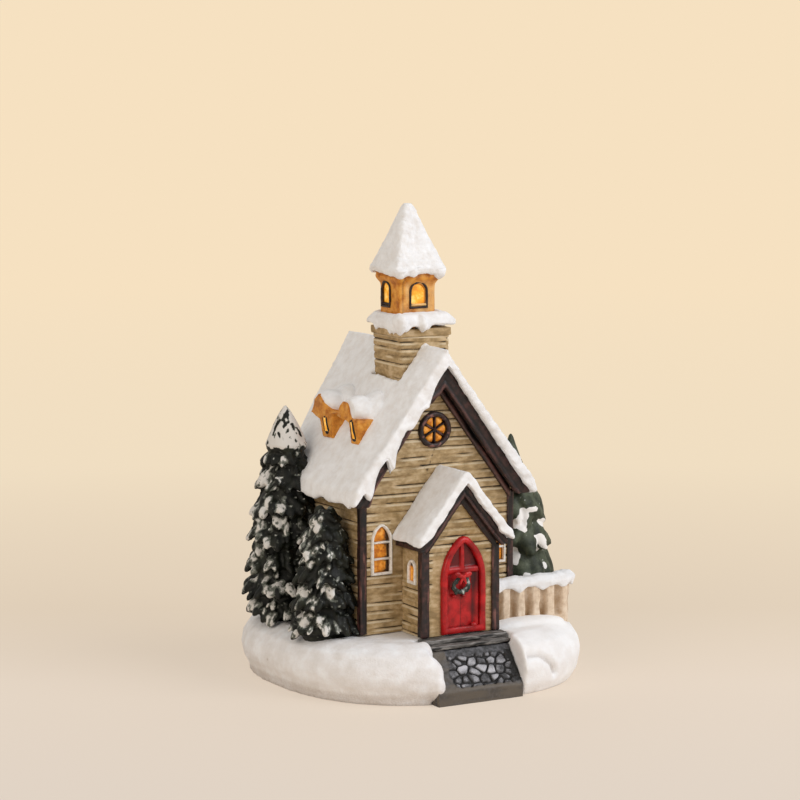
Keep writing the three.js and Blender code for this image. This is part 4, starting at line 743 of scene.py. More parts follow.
def ground_shape(points, normals):
    """The bank is coarser on the left, with pits and the crescent hollow; painted shade lies in its pits, in
    the hollow and low on the left, and painted light on its right
    """
    x, y, z = points.T
    pit = spots(points, 8.0, 0.9, 0.12, 31)
    left = ease(10, -10, x)
    low = ease(5.5, 3.5, z + 1.2 * noise(points, 11, 35)) * ease(0.3, 1.5, z)
    away = np.min([near_line(x, z, a, b) for a, b in zip(CRESCENT, CRESCENT[1:])], 0)
    dent = hump(away, 0, 0.95) * ease(-36, -40, y)
    move = (0.18 * (rough(points, 1.4, 3, 30) - 0.5) * (0.5 + 0.5 * left) + 0.4 * (noise(points, 13, 33) - 0.35)
            - 0.4 * ease(0.2, 0.8, pit) - 0.45 * low * left)
    # Painted shade: in the pits, in the crescent hollow, and low down on the left
    shade = np.maximum(np.maximum(pit, 0.62 * dent), 0.5 * ease(8, 0, z) * left)
    # Paler on the right as painted light, and in random patches
    bright = 0.6 * (1 - left) + 0.3 * noise(points, 8, 36)
    return np.where(z < 0.3, 0, move - 1.5 * dent), {"pit": shade, "bright": bright}


# The bank's shoulders beside the path and the porch
shoulder = [ball((-17.6, -42.6, 8.2), (3.0, 5.6, 5.6), detail=3),
            ball((-17.4, -46.0, 5.0), (2.6, 3.2, 4.2), detail=3),
            ball((-17.3, -38.0, 13.4), (2.7, 3.8, 4.0), detail=3),
            ball((22.5, -28.5, 16.3), (14.0, 5.5, 2.5), detail=4)]
ridge_lump = ball((-3.1, -22.6, 94.1), (4.4, 5.6, 4.3), detail=3)
ledge_balls = [ball((-12.0, -15.3, 105.6), (3.2, 2.6, 1.7), DOWN, 3, 0.45),
               ball((-5.2, -15.7, 105.6), (2.5, 2.7, 1.1), DOWN, 3)]
rim_lumps = [ball((-10.9, -13.4, 119.4), (1.9, 2.4, 1.9), DOWN, 3),
             ball((2.2, -13.3, 119.2), (1.8, 2.1, 1.9), detail=3)]
# A bead of snow on the roof round the tower's foot
collar = []
for k in range(40):
    a = 2 * pi * k / 40
    reach = 8.2 / max(abs(cos(a)), abs(sin(a)))
    x, y = TOWER_X + reach * cos(a), TOWER_Y + reach * sin(a)
    collar.append(ball((x, y, RIDGE_Z + 3.4 - tan(ROOF_SLOPE) * abs(x - NAVE_X)), (1.3, 1.3, 1.3)))
sculpt("snow_mound", "snow_base", 0.75, ground_shape, GROUND_SNOW, shoulder, relax=3)
sculpt("roof_snow_worked", "roof_snow", 0.5, roof_shape, SNOW, [ridge_lump, *collar], relax=7)
sculpt("porch_snow_worked", "porch_snow", 0.4, porch_shape, SNOW, relax=8)
sculpt("ledge_snow_worked", "ledge_snow", 0.33, ledge_shape, SNOW, ledge_balls, relax=4)
sculpt("steeple_snow_worked", "steeple_snow", 0.36, cap_shape, SNOW, rim_lumps, relax=4)
sculpt("fence_snow_worked", "fence_snow", 0.35, snow_shape(0.14, 1.0, 0.3, 4, pits=0, seed=6), SNOW, relax=4)
for which, back in (("near", 0.0), ("far", 17.8)):
    heap = [ball((-21.0, -7.6 + back, 80.4), (5.2, 5.2, 4.2), None, 3),
            ball((-17.8, -8.2 + back, 80.4), (6.4, 6.0, 3.0), (-0.6, 0, -0.8), 3)]
    worked(f"{which}_dormer_snow_worked", heap, 0.35, heap_shape, SNOW, f"{which}_dormer_snow", relax=10)


# Dark woodwork

def board_streaks(slope, x, apex, depth):
    """Grooves along a gable board, with a painted sheen along its lower ridge; across is mm below its upper
    edge
    """
    def shape(points, normals):
        off = points[:, 0] - x
        across = (apex - points[:, 2]) * cos(slope) - np.abs(off) * sin(slope)
        where = np.stack([np.abs(off) / cos(slope), across, np.sign(off) * 50], -1)
        streak = rough(where, (9, 0.9, 9), 2, 41)
        front = ease(0.3, 0.8, np.abs(normals[:, 1]))
        ridge = ease(depth - 1.1, depth - 0.7, across)
        cut = hump(across, depth - 1.3, 0.28)
        move = front * (0.16 * streak + 0.18 * ridge - 0.32 * cut) + 0.12 * noise(points, 4, 42)
        return move, {"groove": front * (cut + ease(-0.1, -0.6, streak)),
                      "ridge": front * ridge * (0.5 + 0.5 * streak)}
    return shape


def upright_streaks(points, normals):
    where = np.stack([points[:, 0] * 2.2, points[:, 1] * 2.2, points[:, 2] * 0.22], -1)
    streak = rough(where, 1.6, 2, 51)
    # Raised streaks take a painted sheen
    return 0.12 * streak + 0.12 * noise(points, 5, 52), {
        "groove": ease(0.0, -0.6, streak), "ridge": ease(0.1, 0.7, streak)}


def thin_left(shape, by, start):
    """The front gable's left arm is narrower along its middle"""
    def thinner(points, normals):
        move, values = shape(points, normals)
        off = NAVE_X - points[:, 0]
        across = (RIDGE_Z - points[:, 2]) * cos(ROOF_SLOPE) - np.abs(off) * sin(ROOF_SLOPE)
        up = by * ease(1.5, 4.5, off) * ease(26, 21, off) * ease(start, start + 2, across)
        return normals * move[:, None] + up[:, None] * np.array((-sin(ROOF_SLOPE), 0, cos(ROOF_SLOPE))), values
    return thinner


gable_board = board_streaks(ROOF_SLOPE, NAVE_X, RIDGE_Z, 4.1)
sculpt("front_bargeboard_worked", "front_bargeboard", 0.38, thin_left(gable_board, 1.8, 1.2), WOOD)
sculpt("rear_bargeboard_worked", "rear_bargeboard", 0.45, gable_board, WOOD)
porch_board = board_streaks(PORCH_SLOPE, PORCH_X, PORCH_APEX, 2.6)
sculpt("porch_bargeboard_worked", "porch_bargeboard", 0.32, porch_board, WOOD)
gable_streaks = board_streaks(ROOF_SLOPE, NAVE_X, RIDGE_Z, 5.0)
porch_streaks = board_streaks(PORCH_SLOPE, PORCH_X, PORCH_APEX, 5.0)
front_streaks = thin_left(gable_streaks, 1.8, 3.0)
for which, bar, streaks in (
        ("front", (NAVE_X, RIDGE_Z, 24.2, ROOF_SLOPE, -23.3, -21.8, 2.7, 5.4), front_streaks),
        ("rear", (NAVE_X, RIDGE_Z, 24.2, ROOF_SLOPE, 16.3, 17.8, 2.7, 5.4), gable_streaks),
        ("porch", (PORCH_X, PORCH_APEX, 11.9, PORCH_SLOPE, -35.0, -33.8, 1.9, 4.1), porch_streaks)):
    worked(f"{which}_gable_moulding", [chevron_bar(*bar)], 0.34, streaks, WOOD)
for post in ("front_left", "front_right", "rear_left", "rear_right", "porch_left", "porch_right"):
    sculpt(f"{post}_post_worked", f"{post}_post", 0.36, upright_streaks, WOOD)
for deck in ("roof_deck_left", "roof_deck_right", "porch_roof_deck"):
    sculpt(deck + "_worked", deck, 0.6, upright_streaks, WOOD)


# Boarded walls

WALL = 2.6
ROSE_X, ROSE_Z, ROSE_HOLE = -4.4, 75.3, 5.0
LANCETS = {"left": -22.05, "right": 16.4}

# Cracks under the round window, from one end to the other: x and z
CRACKS = [((-4.2, 69.6), (-6.6, 63.2)), ((-6.6, 63.2), (-9.6, 66.4)), ((-6.6, 63.2), (-7.0, 60.5))]


def boards(u, z, pitch, seed, strength=1.0):
    """How far boards stand out at a place on a wall, how dark the line between boards is there, and how light
    the painted highlight along a board's edge is
    """
    where = np.stack([u, z, np.full_like(u, seed * 7.3)], -1)
    level = (z + 0.3 * noise(where, (16, 9, 5), seed) + 0.012 * u) / pitch
    line = np.round(level)
    away = np.abs(level - line) * pitch
    stroke = np.stack([u + 13 * line, line * 50, np.full_like(u, seed)], -1)
    reach = ease(-0.75, 0.15, rough(stroke, (8, 9, 9), 2, seed + 2)) * strength
    width = 0.21 + 0.09 * noise(where, (2.5, 3, 3), seed + 4)
    groove = hump(away, 0, width) * reach
    below = (np.ceil(level) - level) * pitch
    # A painted highlight just below each line between boards, along a board's top edge
    lit_crest = hump(below, 0.65, 0.35) * reach
    grain = noise(where, (4, 0.45, 4), seed + 5) * 0.05 + noise(where, 1.1, seed + 6) * 0.05
    part = level - np.floor(level)
    return 0.16 * (1 - part) * strength - 0.48 * groove + 0.1 * lit_crest + grain - 0.05, groove, lit_crest


def board_wall(u, z, place, out, level, pitch, seed, holes=(), soft=None, cracks=(), edge=None):
    """A boarded slab over a grid of (along, height); place puts a point of its face where it belongs"""
    along, up = u.ravel(), z.ravel()
    high, groove, lit_crest = boards(along, up, pitch, seed, 1.0 if soft is None else soft(along, up))
    for a, b in cracks:
        d = near_line(along, up, a, b)
        high = high - 0.3 * hump(d, 0, 0.25)
        groove = np.maximum(groove, 0.7 * hump(d, 0, 0.18))
    smear = 0.6 * noise(np.stack([along, up, along * 0], -1), (9, 9, 4), seed + 8)
    if edge is not None:
        smear = smear + ease(4, 0, edge(along, up))
    keep = np.ones((u.shape[0] - 1, u.shape[1] - 1), bool)
    for hole in holes:
        keep &= ~hole(*((a[:-1, :-1] + a[1:, :-1] + a[:-1, 1:] + a[1:, 1:]) / 4 for a in (u, z)))
    front = np.stack(place(along, high, up), -1).reshape(*u.shape, 3)
    return plate(front, out, level, keep, {"groove": groove, "smear": smear, "high": lit_crest})


def in_arch(u, z, half, low, spring, top):
    """Inside a pointed opening"""
    rise = top - spring
    radius = (half * half + rise * rise) / (2 * half)
    curve = np.sqrt(np.maximum(radius ** 2 - (z - spring) ** 2, 0)) - (radius - half)
    return (np.abs(u) < np.where(z < spring, half, curve)) & (z > low) & (z < top)


def gable_wall(centre, half, eave, slope, y, facing, pitch, seed, thick=WALL, holes=(), soft=None, cracks=()):
    """A wall that runs up into a gable, facing -Y or Y; its rows are as wide as it is at their height"""
    top = eave + tan(slope) * half
    z = np.linspace(GROUND, top - 0.1, int((top - GROUND) / 0.27) + 2)
    reach = np.maximum(np.minimum(half, half - (z - eave) / tan(slope)), 0.12)
    t = np.linspace(-1, 1, int(2 * half / 0.8) + 2)
    return board_wall(centre + reach[:, None] * t, np.repeat(z[:, None], len(t), 1),
                      lambda u, h, z: (u, y + facing * h, z), (0, facing, 0), facing * y - thick, pitch, seed,
                      holes, soft, cracks,
                      lambda u, z: np.where(z > eave, half - (z - eave) / tan(slope) - np.abs(u - centre), 9))


def side_wall(x, y0, y1, top, facing, pitch, seed, thick=WALL, holes=(), soft=None):
    """A plain wall facing -X or X"""
    y, z = np.meshgrid(np.linspace(y0, y1, int((y1 - y0) / 0.8) + 2),
                       np.linspace(GROUND, top, int((top - GROUND) / 0.27) + 2))
    return board_wall(y, z, lambda u, h, z: (x + facing * h, u, z), (facing, 0, 0), facing * x - thick,
                      pitch, seed, holes, soft)


def nave_soft(x, z):
    """Beside and over the left window the wall is plain"""
    return 1 - ease(-18.9, -18.2, x) * ease(-13, -14, x) * ease(33, 35, z) * ease(53, 50, z)


def lancet_hole(centre):
    return lambda x, z: in_arch(x - centre, z, 2.9, 34.6, 43.6, 48.9)


slab_piece("front_wall_boards", [gable_wall(
    NAVE_X, NAVE_HALF, EAVE_Z, ROOF_SLOPE, FRONT_Y, -1, BOARD, 1,
    holes=[lambda x, z: np.hypot(x - ROSE_X, z - ROSE_Z) < ROSE_HOLE,
           *(lancet_hole(x) for x in LANCETS.values())],
    soft=nave_soft, cracks=CRACKS)], SIDING, "front_wall")
slab_piece("rear_wall_boards", [gable_wall(NAVE_X, NAVE_HALF, EAVE_Z, ROOF_SLOPE, 16.5, 1, BOARD, 2)], SIDING,
           "rear_wall")
for which, x, facing, seed in (("left", LEFT_WALL_X, -1, 3), ("right", RIGHT_WALL_X, 1, 4)):
    wall = side_wall(x, -20.9, 15.4, 56.4, facing, BOARD, seed)
    slab_piece(f"{which}_wall_boards", [wall], SIDING, f"{which}_wall")


def porch_soft(x, z):
    """Boards show above the door and in short strokes left of it; beside the door the wall is plain"""
    strokes = ease(-11.2, -12.4, x) * ease(24, 34, z)
    return np.clip(ease(38, 44, z) + 0.5 * ease(5.5, 6.5, x) + strokes, 0, 1)


def porch_side_soft(y, z):
    return 1 - 0.9 * ease(31, 33.5, z)


slab_piece("porch_boards", [
    gable_wall(PORCH_X, PORCH_HALF, PORCH_EAVE_Z, PORCH_SLOPE, PORCH_Y, -1, 2.3, 6, 2.2,
               [lambda x, z: in_arch(x - DOOR_X, z, 6.4, 17.0, DOOR_SPRING, 45.2)], porch_soft),
    side_wall(PORCH_LEFT_X, -33.6, -22.0, 43.2, -1, 2.5, 7, 2.2,
              [lambda y, z: in_arch(y + 28.1, z, 1.6, 32.4, 36.4, 38.8)], porch_side_soft),
    side_wall(9.6, -33.6, -22.0, 43.2, 1, 2.5, 8, 2.2)], SIDING, "porch_shell")


def rounded_ring(hx, hy, corner, step):
    """Places round a rectangle with rounded corners, evenly spaced"""
    points = []
    for k, (side_x, side_y) in enumerate([(1, -1), (1, 1), (-1, 1), (-1, -1)]):
        for angle in np.linspace(-pi / 2, 0, 6) + pi / 2 * k:
            points.append((side_x * (hx - corner) + corner * cos(angle),
                           side_y * (hy - corner) + corner * sin(angle)))
    points = np.array(points + points[:1])
    lengths = np.concatenate([[0], np.cumsum(np.linalg.norm(np.diff(points, axis=0), axis=1))])
    at = np.linspace(0, lengths[-1], int(lengths[-1] / step), endpoint=False)
    return np.stack([np.interp(at, lengths, points[:, i]) for i in (0, 1)], -1), at


tower_low, tower_high = box("tower_walls")
tower_mid = (tower_low + tower_high)[:2] / 2
tower_half = (tower_high - tower_low)[:2] / 2 - 0.1
ring, turn = rounded_ring(*tower_half, 0.7, 0.6)
outward = unit(np.roll(ring, -1, 0) - np.roll(ring, 1, 0)) @ np.array([[0, -1], [1, 0]])
foot = RIDGE_Z + 0.4 - tan(ROOF_SLOPE) * np.abs(ring[:, 0] + tower_mid[0] - NAVE_X)
rows = 76
heights = foot + (tower_high[2] - foot) * np.linspace(0, 1, rows)[:, None]
stand, tower_groove, tower_lit_crest = boards(np.tile(turn, rows), heights.ravel(), TOWER_BOARD, 9)
taper = 1 - 0.08 * ease(1, -0.2, np.linspace(0, 1, rows))[:, None, None]
skin = ring * taper + outward * stand.reshape(rows, -1, 1)
outer = np.concatenate([skin + tower_mid, heights[..., None]], -1)
inside = np.repeat((ring * (1 - 3.1 / tower_half) + tower_mid)[None], 2, 0)
inner = np.concatenate([inside, np.stack([heights[-1], np.maximum(foot, 84.4)])[..., None]], -1)
tube = np.concatenate([outer, inner]).reshape(-1, 3)
# Painted shade in a band round the tower's foot, where it meets the roof's snow
foot_shade = ease(3.4, 2.6, (heights - foot).ravel() + 0.8 * noise(tube[:heights.size], 1.5, 92))
tower_mesh = mesh_of("tower_boards", tube, tube_faces(rows + 2, len(ring)), smear=0.5 * noise(tube, 5, 91),
                     groove=np.pad(np.maximum(tower_groove, 0.6 * foot_shade), (0, 2 * len(ring))),
                     high=np.pad(tower_lit_crest, (0, 2 * len(ring))))
show("tower_boards", tidy(tower_mesh), SIDING, "tower_walls")


def plain_grain(amount, size, seed):
    def shape(points, normals):
        groove = ease(0.55, 0.9, rough(points, size * 2, 2, seed + 1))
        smear = 0.5 * noise(points, 4, seed + 2)
        return amount * (rough(points, size, 2, seed) - 0.3), {"groove": groove, "smear": smear}
    return shape


sculpt("tower_cornice_worked", "tower_cornice", 0.4, plain_grain(0.15, 1.5, 95), SIDING)


# Windows

def arch_path(half, low, spring, top, steps=9):
    """Round a pointed opening from its lower left, up and over"""
    rise = top - spring
    radius = (half * half + rise * rise) / (2 * half)
    angles = np.linspace(0, asin(min(1, rise / radius)), steps + 1)
    left = [(radius - half - radius * cos(a), spring + radius * sin(a)) for a in angles]
    left[-1] = (0.0, left[-1][1] - 0.06 * half)
    up = [(-half, low + (spring - low) * t) for t in (0, 0.33, 0.66)]
    return up + left + [(-u, z) for u, z in (up + left)[-2::-1]]


def round_path(half, low, top, steps=10):
    """Round an opening with a round top"""
    angles = np.linspace(0, pi, steps + 1)
    arc = [(-half * cos(a), top - half + half * sin(a)) for a in angles]
    middle = (low + top - half) / 2
    return [(-half, low), (-half, middle)] + arc + [(half, middle), (half, low)]


def on_wall(path, centre, y):
    return [(centre + u, y, z) for u, z in path]


def on_left(path, x, centre):
    """A path on a wall that faces -X"""
    return [(x, centre - u, z) for u, z in path]


def cushion(outline, out, depth, rise, steps=5):
    """A pane: its outline with a softly domed face"""
    outline = np.asarray(outline, float)
    middle = outline.mean(0)
    out = unit(out)
    rings = [outline - out * depth, outline]
    for i in range(1, steps):
        t = i / steps
        rings.append(middle + (outline - middle) * (1 - t) + out * rise * (1 - (1 - t) ** 2))
    n = len(outline)
    last = (len(rings) - 1) * n
    faces = [list(range(n))[::-1]] + tube_faces(len(rings), n)[:last]
    faces += [[last + k, last + (k + 1) % n, len(rings) * n] for k in range(n)]
    return np.concatenate([*rings, [middle + out * rise]]), faces


def lancet_window(side, centre, shade):
    """One pointed window of the front; shade is how much painted shade darkens its panes on their right"""
    y = FRONT_Y - 0.1
    rim = sweep(on_wall(arch_path(3.05, 34.6, 44.0, 48.9), centre, y), round_section(0.8, 0.75, -0.4), FRONT)
    bars = [sweep([(centre - 2.8, y, z), (centre, y - 0.05, z + 0.1), (centre + 2.8, y, z)],
                  round_section(0.7, 0.55, -0.3), FRONT, closed=False) for z in (38.9, 43.7)]
    uneven_piece(side + "_window_frame_round", tidy(merged(side + "_window", [rim, *bars])), (0.09, 1.3, 61),
                 None, WHITE, side + "_window_frame")
    panes = []
    for low, high in ((35.1, 38.7), (39.1, 43.5)):
        corners = on_wall([(-2.5, low), (2.5, low), (2.5, high), (-2.5, high)], centre, y + 0.5)
        panes.append(cushion(corners, FRONT, 0.8, 0.35))
    panes.append(cushion(on_wall(arch_path(2.4, 43.9, 44.4, 48.3), centre, y + 0.5), FRONT, 0.8, 0.35))
    # The panes darken with painted shade towards their right, and at random
    uneven_piece(side + "_window_panes", tidy(merged(side + "_panes", panes)), None, lambda p: {
        "groove": 0.25 + shade * ease(0, 2.2, p[:, 0] - centre) + 0.4 * noise(p, 1.5, 63)}, AMBER)


lancet_window("left", LANCETS["left"], 0.55)
lancet_window("right", LANCETS["right"], 0.0)

# A petal of the round window: how far its outline is from the middle, and by which angle from its axis
PETAL = [(0.8, 0.0), (1.7, -0.27), (2.7, -0.36), (3.5, -0.36), (3.85, -0.14), (3.85, 0.14), (3.5, 0.36),
         (2.7, 0.36), (1.7, 0.27)]


def rose_place(radius, angle, y):
    return ROSE_X + radius * sin(angle), y, ROSE_Z + radius * cos(angle)


rose_y = FRONT_Y - 0.1
turns = np.linspace(0, 2 * pi, 49)[:-1]
rose_parts = [sweep([rose_place(4.6, a, rose_y) for a in turns], round_section(1.6, 1.0, -0.6), FRONT),
              cushion([rose_place(4.2, a, rose_y + 0.35) for a in turns], FRONT, 0.6, 0.1)]
petals = []
for k in range(6):
    a = pi / 3 * k + 0.02
    spoke = [rose_place(r, a, rose_y) for r in (0, 2, 4.2)]
    rose_parts.append(sweep(spoke, round_section(0.55, 0.5, -0.2, 6), FRONT, closed=False))
    petal = [rose_place(r, a + pi / 6 + aside, rose_y + 0.2) for r, aside in PETAL]
    petals.append(cushion(petal, FRONT, 0.5, 0.65))
uneven_piece("rose_window_ring", tidy(merged("rose", rose_parts)), (0.13, 1.1, 65), lambda p: {
    "groove": 0.4 + 0.4 * noise(p, 1.5, 66), "ridge": ease(0.3, 0.6, noise(p, 0.7, 67))}, WOOD,
    "rose_window_frame")
uneven_piece("rose_petals", tidy(merged("rose_petals", petals)), (0.06, 0.9, 69),
             lambda p: {"groove": 0.1 + 0.4 * noise(p, 1.0, 68)}, AMBER)

SIDE_Y = -28.1
rim = sweep(on_left(arch_path(1.85, 32.3, 36.4, 38.7), PORCH_LEFT_X - 0.1, SIDE_Y),
            round_section(0.85, 0.55, -0.4), LEFT)
uneven_piece("porch_window_frame", tidy(merged("porch_window_frame", [rim])), (0.08, 1.2, 71), None, WHITE)
pane = cushion(on_left(arch_path(1.5, 32.5, 36.3, 38.4), PORCH_LEFT_X + 0.2, SIDE_Y), LEFT, 0.7, 0.25)
# The pane darkens towards its top with painted shade, and at random
uneven_piece("porch_window_pane_lit", tidy(merged("porch_pane", [pane])), None, lambda p: {
    "groove": 0.25 + 0.4 * noise(p, 1.2, 70) + 0.5 * ease(36.5, 37.6, p[:, 2])}, AMBER, "porch_window_pane")


# Belfry

def belfry_shape(points, normals):
    """Ochre walls with a fold near the front's left corner, and painted light on the faces turned to the front
    """
    move, values = plain_grain(0.2, 2.2, 101)(points, normals)
    front = ease(-0.3, -0.8, normals[:, 1])
    fold = front * hump(points[:, 0], -9.4, 0.6)
    values["groove"] = np.maximum(values["groove"], 0.6 * fold)
    # Paler at random, and with painted light on the faces turned to the front
    values["high"] = 0.5 * noise(points, (2, 2, 5), 102) + 0.5 * front
    return move - 0.25 * fold, values


belfry_low, belfry_high = box("belfry_walls")
belfry_x, belfry_y = (belfry_low + belfry_high)[:2] / 2
flare = revolved((belfry_x, belfry_y), [(117.2, 8.4), (119.6, 10.0), (121.4, 9.4)], 4)
sculpt("belfry_worked", "belfry_walls", 0.32, belfry_shape, OCHRE, [flare], relax=5)
half_x, half_y = 6.25, 5.95
sill_z = belfry_low[2] + 6.0
# Each face: the way it looks, half its window's width, and where a place along it lies
belfry_faces = [(FRONT, 2.75, lambda u: (belfry_x + 0.2 + u, belfry_y - half_y)),
                ((0, 1, 0), 2.75, lambda u: (belfry_x - u, belfry_y + half_y)),
                (LEFT, 2.3, lambda u: (belfry_x - half_x, belfry_y + 1.6 - u)),
                ((1, 0, 0), 2.3, lambda u: (belfry_x + half_x, belfry_y + 1.6 + u))]
frames, sills, panes = [], [], []
for out, half, at in belfry_faces:
    out = np.array(out, float)

    def along(path):
        return np.array([(*at(u), z) for u, z in path])

    frames.append(sweep(along(round_path(half, sill_z, sill_z + 7.3)) + out * 0.05,
                        round_section(0.62, 0.4, -0.5), out))
    sills.append(sweep(along([(u, sill_z + 0.75) for u in (-half + 0.3, 0, half - 0.3)]) - out * 0.1,
                       round_section(0.75, 0.4, -0.4), out, closed=False))
    panes.append(cushion(along(round_path(half - 0.1, sill_z + 0.1, sill_z + 7.1)) - out * 0.6, out, 1.4, 0.15))
uneven_piece("belfry_window_frames", tidy(merged("belfry_frames", [*frames, *sills[2:]])), (0.14, 1.0, 104),
             lambda p: {"groove": 0.4, "ridge": 0.5 * noise(p, 1.0, 103)}, WOOD)
uneven_piece("belfry_window_sills", tidy(merged("belfry_sills", sills[:2])), (0.1, 1.0, 105),
             lambda p: {"groove": 0.3 * noise(p, 0.8, 106), "high": 0.9}, OCHRE)
show("belfry_panes", tidy(merged("belfry_panes", [solid_of("belfry_glow_liner"), *panes])), GLOW,
     "belfry_glow_liner")


# Dormers: the outlines of their faces, and of their lit slits, as y and z

DORMERS = {
    "near": ([(-9.9, 71.2), (-9.2, 75.1), (-8.6, 77.3), (-5.4, 77.6), (-1.6, 78.2), (-2.4, 80.2), (-3.3, 81.7),
              (-5.1, 82.8), (-7.2, 82.6), (-8.2, 81.4), (-8.8, 79.7), (-9.6, 78.5), (-13.9, 78.2),
              (-14.1, 71.4)],
             [(-9.7, 77.9), (-11.0, 77.6), (-12.9, 72.9), (-11.1, 72.7)]),
    "far": ([(6.9, 71.2), (8.1, 73.7), (9.0, 76.2), (12.0, 76.9), (14.1, 77.7), (12.9, 79.8), (12.3, 81.7),
             (9.9, 83.4), (8.4, 82.1), (6.3, 80.6), (5.2, 78.9), (3.3, 78.3), (1.4, 78.8), (1.2, 71.4)],
            [(6.7, 76.9), (4.9, 77.1), (3.3, 73.2), (5.5, 72.9)])}
SLIT_X = -25.25


def prism_x(outline, x0, x1):
    """A solid of one outline from x0 to x1"""
    n = len(outline)
    points = [(x, y, z) for x in (x0, x1) for y, z in outline]
    sides = [[k, (k + 1) % n, n + (k + 1) % n, n + k] for k in range(n)]
    return points, sides + [list(range(n)), list(range(n, 2 * n))[::-1]]


def dormer_shape(points, normals):
    streaks = noise(points, (2, 2.5, 1.6), 112)
    return 0.1 * rough(points, 1.4, 2, 111) + 0.1, {
        "groove": 0.35 * noise(points, 1.1, 113) + 0.1,
        "high": 0.45 * streaks + 0.3 * ease(-0.4, -0.9, normals[:, 0])}


def slit_bar(start, end, bend, width, height):
    """An upright of a slit's frame, bent up or down at its middle"""
    (y0, z0), (y1, z1) = start, end
    middle = (SLIT_X - 0.1, (y0 + y1) / 2, (z0 + z1) / 2 + bend)
    return sweep([(SLIT_X, y0, z0), middle, (SLIT_X, y1, z1)], round_section(width, height, -0.4, 6), LEFT,
                 closed=False)


for which, (outline, slit) in DORMERS.items():
    worked(f"{which}_dormer_worked", [prism_x(outline, -25.2, -15.8)], 0.3, dormer_shape, OCHRE,
           f"{which}_dormer", relax=3)
    (y0, z0), (y1, z1), (y2, z2), (y3, z3) = slit
    bars = [slit_bar(slit[0], slit[3], 0.1, 0.42, 0.4), slit_bar(slit[1], slit[2], -0.1, 0.55, 0.45),
            ball((SLIT_X, (y2 + y3) / 2, (z2 + z3) / 2 - 0.3), (0.4, 1.15, 0.6)),
            ball((SLIT_X, (y0 + y1) / 2, (z0 + z1) / 2 + 0.1), (0.35, 0.6, 0.45))]
    uneven_piece(f"{which}_dormer_frame", remeshed(merged("slit", bars), 0.14), (0.1, 0.9, 114),
                 lambda p: {"groove": 0.8, "ridge": 0.0}, WOOD)
    lit = tidy(merged("lit", [cushion([(SLIT_X - 0.2, y, z) for y, z in slit], LEFT, 0.6, 0.2)]))
    show(f"{which}_dormer_pane_lit", lit, GLOW, f"{which}_dormer_pane")


# Door

# The frame's section: across from its middle line, and out of the wall
FRAME_SECTION = [(0.95, -0.3), (0.95, 0.7), (0.7, 1.15), (0.1, 1.35), (-0.5, 1.2), (-0.85, 0.8), (-0.95, 0.2),
                 (-0.95, -0.3)]
LEAF_HALF = 5.4
LEAF_COLUMNS = 52
frame_line = on_wall(arch_path(6.45, DOOR_Z + 0.3, DOOR_SPRING, DOOR_Z + 27.2, 12), DOOR_X, PORCH_Y - 0.1)
frame_mesh = tidy(merged("door_frame", [sweep(frame_line, FRAME_SECTION, FRONT)]))
uneven_piece("door_frame_round", frame_mesh, (0.14, 2.0, 120), lambda p: {
    "groove": 0.4 * noise(p, 2.0, 121), "deep": 0.25 * noise(p, (3, 3, 6), 119)}, RED, "door_frame")


def leaf_height(u, z):
    """The door's face: planks below, a transom, and two panels divided by a mullion above; and the painted
    shade on it
    """
    h = z - DOOR_Z
    low = ease(17.2, 16.6, h)
    groove = hump(u, -0.6, 0.14) * low * ease(11, 8, h)
    transom = ease(16.6, 17.3, h) * ease(19.0, 18.3, h)
    mullion = ease(0.95, 0.45, np.abs(u + 0.2)) * ease(18.0, 18.5, h)
    stile = ease(3.9, 4.6, np.abs(u)) * low
    raised = np.maximum(transom, mullion)
    # Painted shade: over the upper panels, in a band along the right of the frame, and to the sides higher up
    shade = (ease(18, 19, h) * 0.85 * (1 - mullion) + 0.8 * hump(u, 3.6, 0.75) * low
             + 0.5 * low * ease(9, 14, h) * ease(1.5, 3.5, np.abs(u - 0.3)))
    high = -0.15 + 0.55 * raised + 0.3 * stile - 0.15 * groove - 0.25 * np.clip(shade, 0, 1)
    return high, groove, shade * (1 - raised)


leaf_z = np.linspace(DOOR_Z + 0.2, DOOR_Z + 26.2, 96)
rise = DOOR_Z + 26.3 - DOOR_SPRING
radius = (LEAF_HALF ** 2 + rise ** 2) / (2 * LEAF_HALF)
curve = np.sqrt(np.maximum(radius ** 2 - (leaf_z - DOOR_SPRING) ** 2, 0)) - (radius - LEAF_HALF)
leaf_half = np.maximum(np.where(leaf_z < DOOR_SPRING, LEAF_HALF, curve), 0.1)
leaf_u = (leaf_half[:, None] * np.linspace(-1, 1, LEAF_COLUMNS)).ravel()
leaf_up = np.repeat(leaf_z, LEAF_COLUMNS)
high, groove, shade = leaf_height(leaf_u, leaf_up)
flat_leaf = np.stack([leaf_u + DOOR_X, leaf_u * 0, leaf_up], -1)
high = high + 0.12 * noise(flat_leaf, (2.0, 2.0, 4), 122)
leaf = (flat_leaf + np.stack([high * 0, PORCH_Y - high, high * 0], -1)).reshape(len(leaf_z), LEAF_COLUMNS, 3)
# The painted shade, broken up at random
shade = shade + 0.25 * noise(flat_leaf, (1.6, 2, 5), 123)
planks = plate(leaf, FRONT, -PORCH_Y - 1.3, None, {"groove": groove, "deep": shade})
slab_piece("door_leaf_planks", [planks], RED, "door_leaf")
knobs = [ball((DOOR_X + 3.4, PORCH_Y - 0.7, DOOR_Z + 1.4), (1.0, 0.8, 0.9)),
         ball((DOOR_X - 3.1, PORCH_Y - 0.4, DOOR_Z + 10.4), (0.6, 0.5, 0.55)),
         ball((DOOR_X + 0.1, PORCH_Y - 0.4, DOOR_Z + 10.2), (0.6, 0.5, 0.5))]
uneven_piece("door_knobs", merged("door_knobs", knobs), (0.06, 0.8, 124), lambda p: {"groove": 0.0}, RED)

